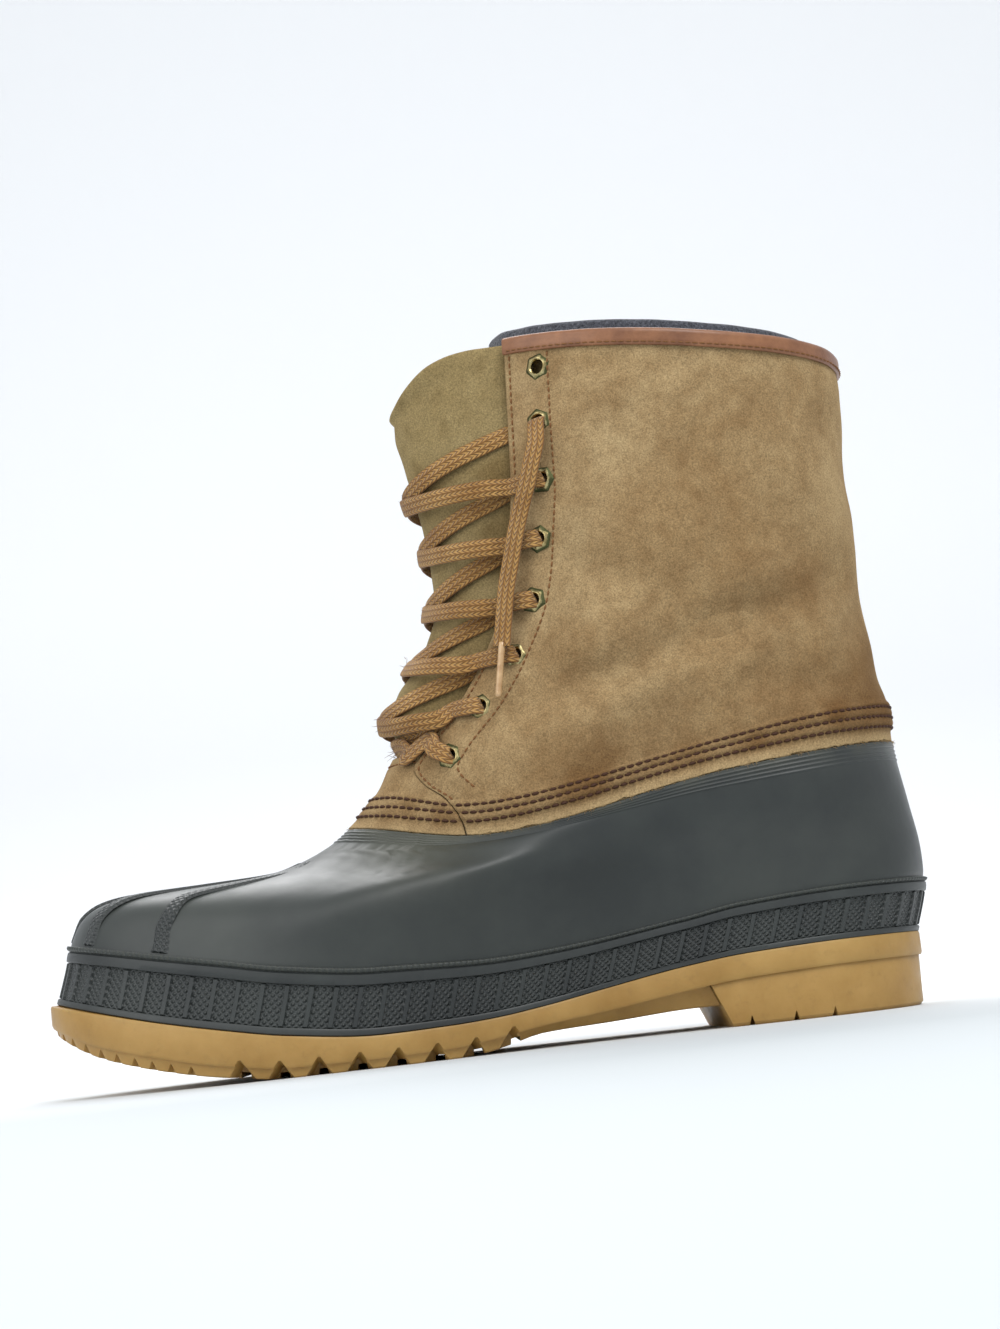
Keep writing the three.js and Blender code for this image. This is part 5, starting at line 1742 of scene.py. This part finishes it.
def fibre_parts(roots, aways, length, radius, seed):
    """Thin curved hairs, each a three-sided cone, one at each root."""
    spread = np.random.default_rng(seed)
    parts = []
    around = np.array([0, 2, 4]) * np.pi / 3
    for root, away in zip(roots, aways):
        bend = spread.normal(size=3) * 0.5
        way = unit(away + spread.normal(size=3) * 0.45)
        size = length * spread.uniform(0.4, 1.3)
        at = np.array([0, 0.4, 0.75, 1])[:, None]
        line = root + way * at * size + bend * at ** 2 * size * 0.5
        side_way = unit(np.cross(way, np.array([0.3, 0.5, 0.8])))
        other = np.cross(way, side_way)
        ring = side_way * np.cos(around)[:, None] + other * np.sin(around)[:, None]
        thick = np.array([1, 0.85, 0.6, 0.2]) * radius
        body = (line[:, None] + ring * thick[:, None, None]).reshape(-1, 3)
        parts.append((body, grid_faces(4, 3, closed=True)))
    return parts


def scattered(points, count, seed):
    """Places picked at random along a line of points, with the share along it."""
    spread = np.random.default_rng(seed)
    at = spread.uniform(0, len(points) - 1, count)
    return np.array([between(place, np.arange(len(points)), points) for place in at]), at


# Threads frayed out of each lace strand of the inner side, from the lowest up

FRAY_THREADS = (18, 8, 14, 4, 10, 6)
FRAY_LENGTH = 2.6
FRAY_RADIUS = 0.13


def add_fibres():
    parts = []
    for sheet, seed, count in ((shaft_level, 81, 900), (throat_level, 82, 160)):
        turns = shaft_turn if seed == 81 else throat_turn
        edge = skin(sheet[0], turns[0], -0.4 + 0 * turns[0])
        roots, at = scattered(edge, count, seed)
        aways = form_normal(sheet[0], turns[0])[at.astype(int)] * 0.7 + np.array([0, 0, -0.6])
        parts += fibre_parts(roots, aways, 1.5, 0.09, seed)
    for column, seed in ((0, 83), (-1, 84)):
        edge = skin(shaft_level[:, column], shaft_turn[:, column], -0.8 + 0 * shaft_turn[:, column])
        roots, _ = scattered(edge, 220, seed)
        parts += fibre_parts(roots, np.tile([1.0, 0, 0.1], (220, 1)), 1.1, 0.07, seed)
    finish_piece(join_meshes("suede_fibres", parts), suede, "suede")
    frays = []
    for index, (root, way) in enumerate(WORN_SPOTS):
        spread = np.random.default_rng(90 + index)
        count = FRAY_THREADS[index]
        roots = root - way * 0.5 + spread.normal(size=(count, 3)) * np.array([0.5, 2.0, 1.6])
        ways = way * 0.8 + spread.normal(size=(count, 3)) * 0.5
        frays += fibre_parts(roots, ways, FRAY_LENGTH, FRAY_RADIUS, 95 + index)
    finish_piece(join_meshes("lace_frays", frays), tan_thread, "lace")


# Liner and insole


def foot_row(level, turn, out, height):
    point = form_point(level, turn)
    share = to_share(point[:, 0])
    normal = form_normal(level, turn)
    normal[:, 2] = 0
    point = point + unit(normal) * out
    point[:, 2] = rim_height(share) + height
    return point


def add_liner():
    turn = np.arange(220) / 220
    outer = -(BAND_WALL + RUBBER_WALL + LINER_SLACK)
    inner = outer - LINER_WALL
    floor = INSOLE_THICKNESS + 3 * FIT_GAP
    rows, fleece = [], []

    def add(points, white):
        rows.append(points)
        fleece.append(np.full(len(turn), white))

    add(foot_row(0.25, turn, outer - 2, floor), 0)
    for level in (0.45, 1.5, 3, 4.5, 6, 7.5, 9, 10, 11, 12, 13, 14, 15):
        add(ring_at(turn, level, outer), 0)
    top_outer = ring_at(turn, COLLAR_LEVEL, outer)
    top_inner = ring_at(turn, COLLAR_LEVEL, inner)
    over_top = (
        (0, -2), (0, LINER_RISE + 0.8), (0.12, LINER_RISE + 1.8), (0.35, LINER_RISE + 2.2),
        (0.65, LINER_RISE + 2.2), (0.88, LINER_RISE + 1.8), (1, LINER_RISE + 0.8), (1, -2),
    )
    for share, rise in over_top:
        add(top_outer + (top_inner - top_outer) * share + np.array([0, 0, rise]), 1.0 if share > 0.4 else 0.0)
    for level in (15, 14, 13, 12, 11, 10, 9, 7.5, 6, 4.5, 3, 1.5):
        add(ring_at(turn, level, inner), 1)
    add(foot_row(0.6, turn, inner - 2, floor + LINER_WALL), 1)
    points = np.array(rows)
    points += unit(points - points.mean(axis=1, keepdims=True)) * (0.35 * waves(points, 12, 71))[..., None]
    count = len(turn)
    faces = grid_faces(len(rows), count, closed=True)
    for base, flip in ((0, False), ((len(rows) - 1) * count, True)):
        ring = tuple(range(base, base + count))
        faces.append(ring if flip else ring[::-1])
    faces = [face[::-1] for face in faces]
    liner = make_mesh("liner_felt", points, faces, values={"fleece": np.array(fleece)})
    tidy_normals(liner)
    liner.data.shade_smooth()
    finish_piece(liner, felt, "felt", "liner")


add_liner()
add_fibres()
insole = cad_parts["insole"]
insole.data.materials.clear()
insole.data.materials.append(felt)
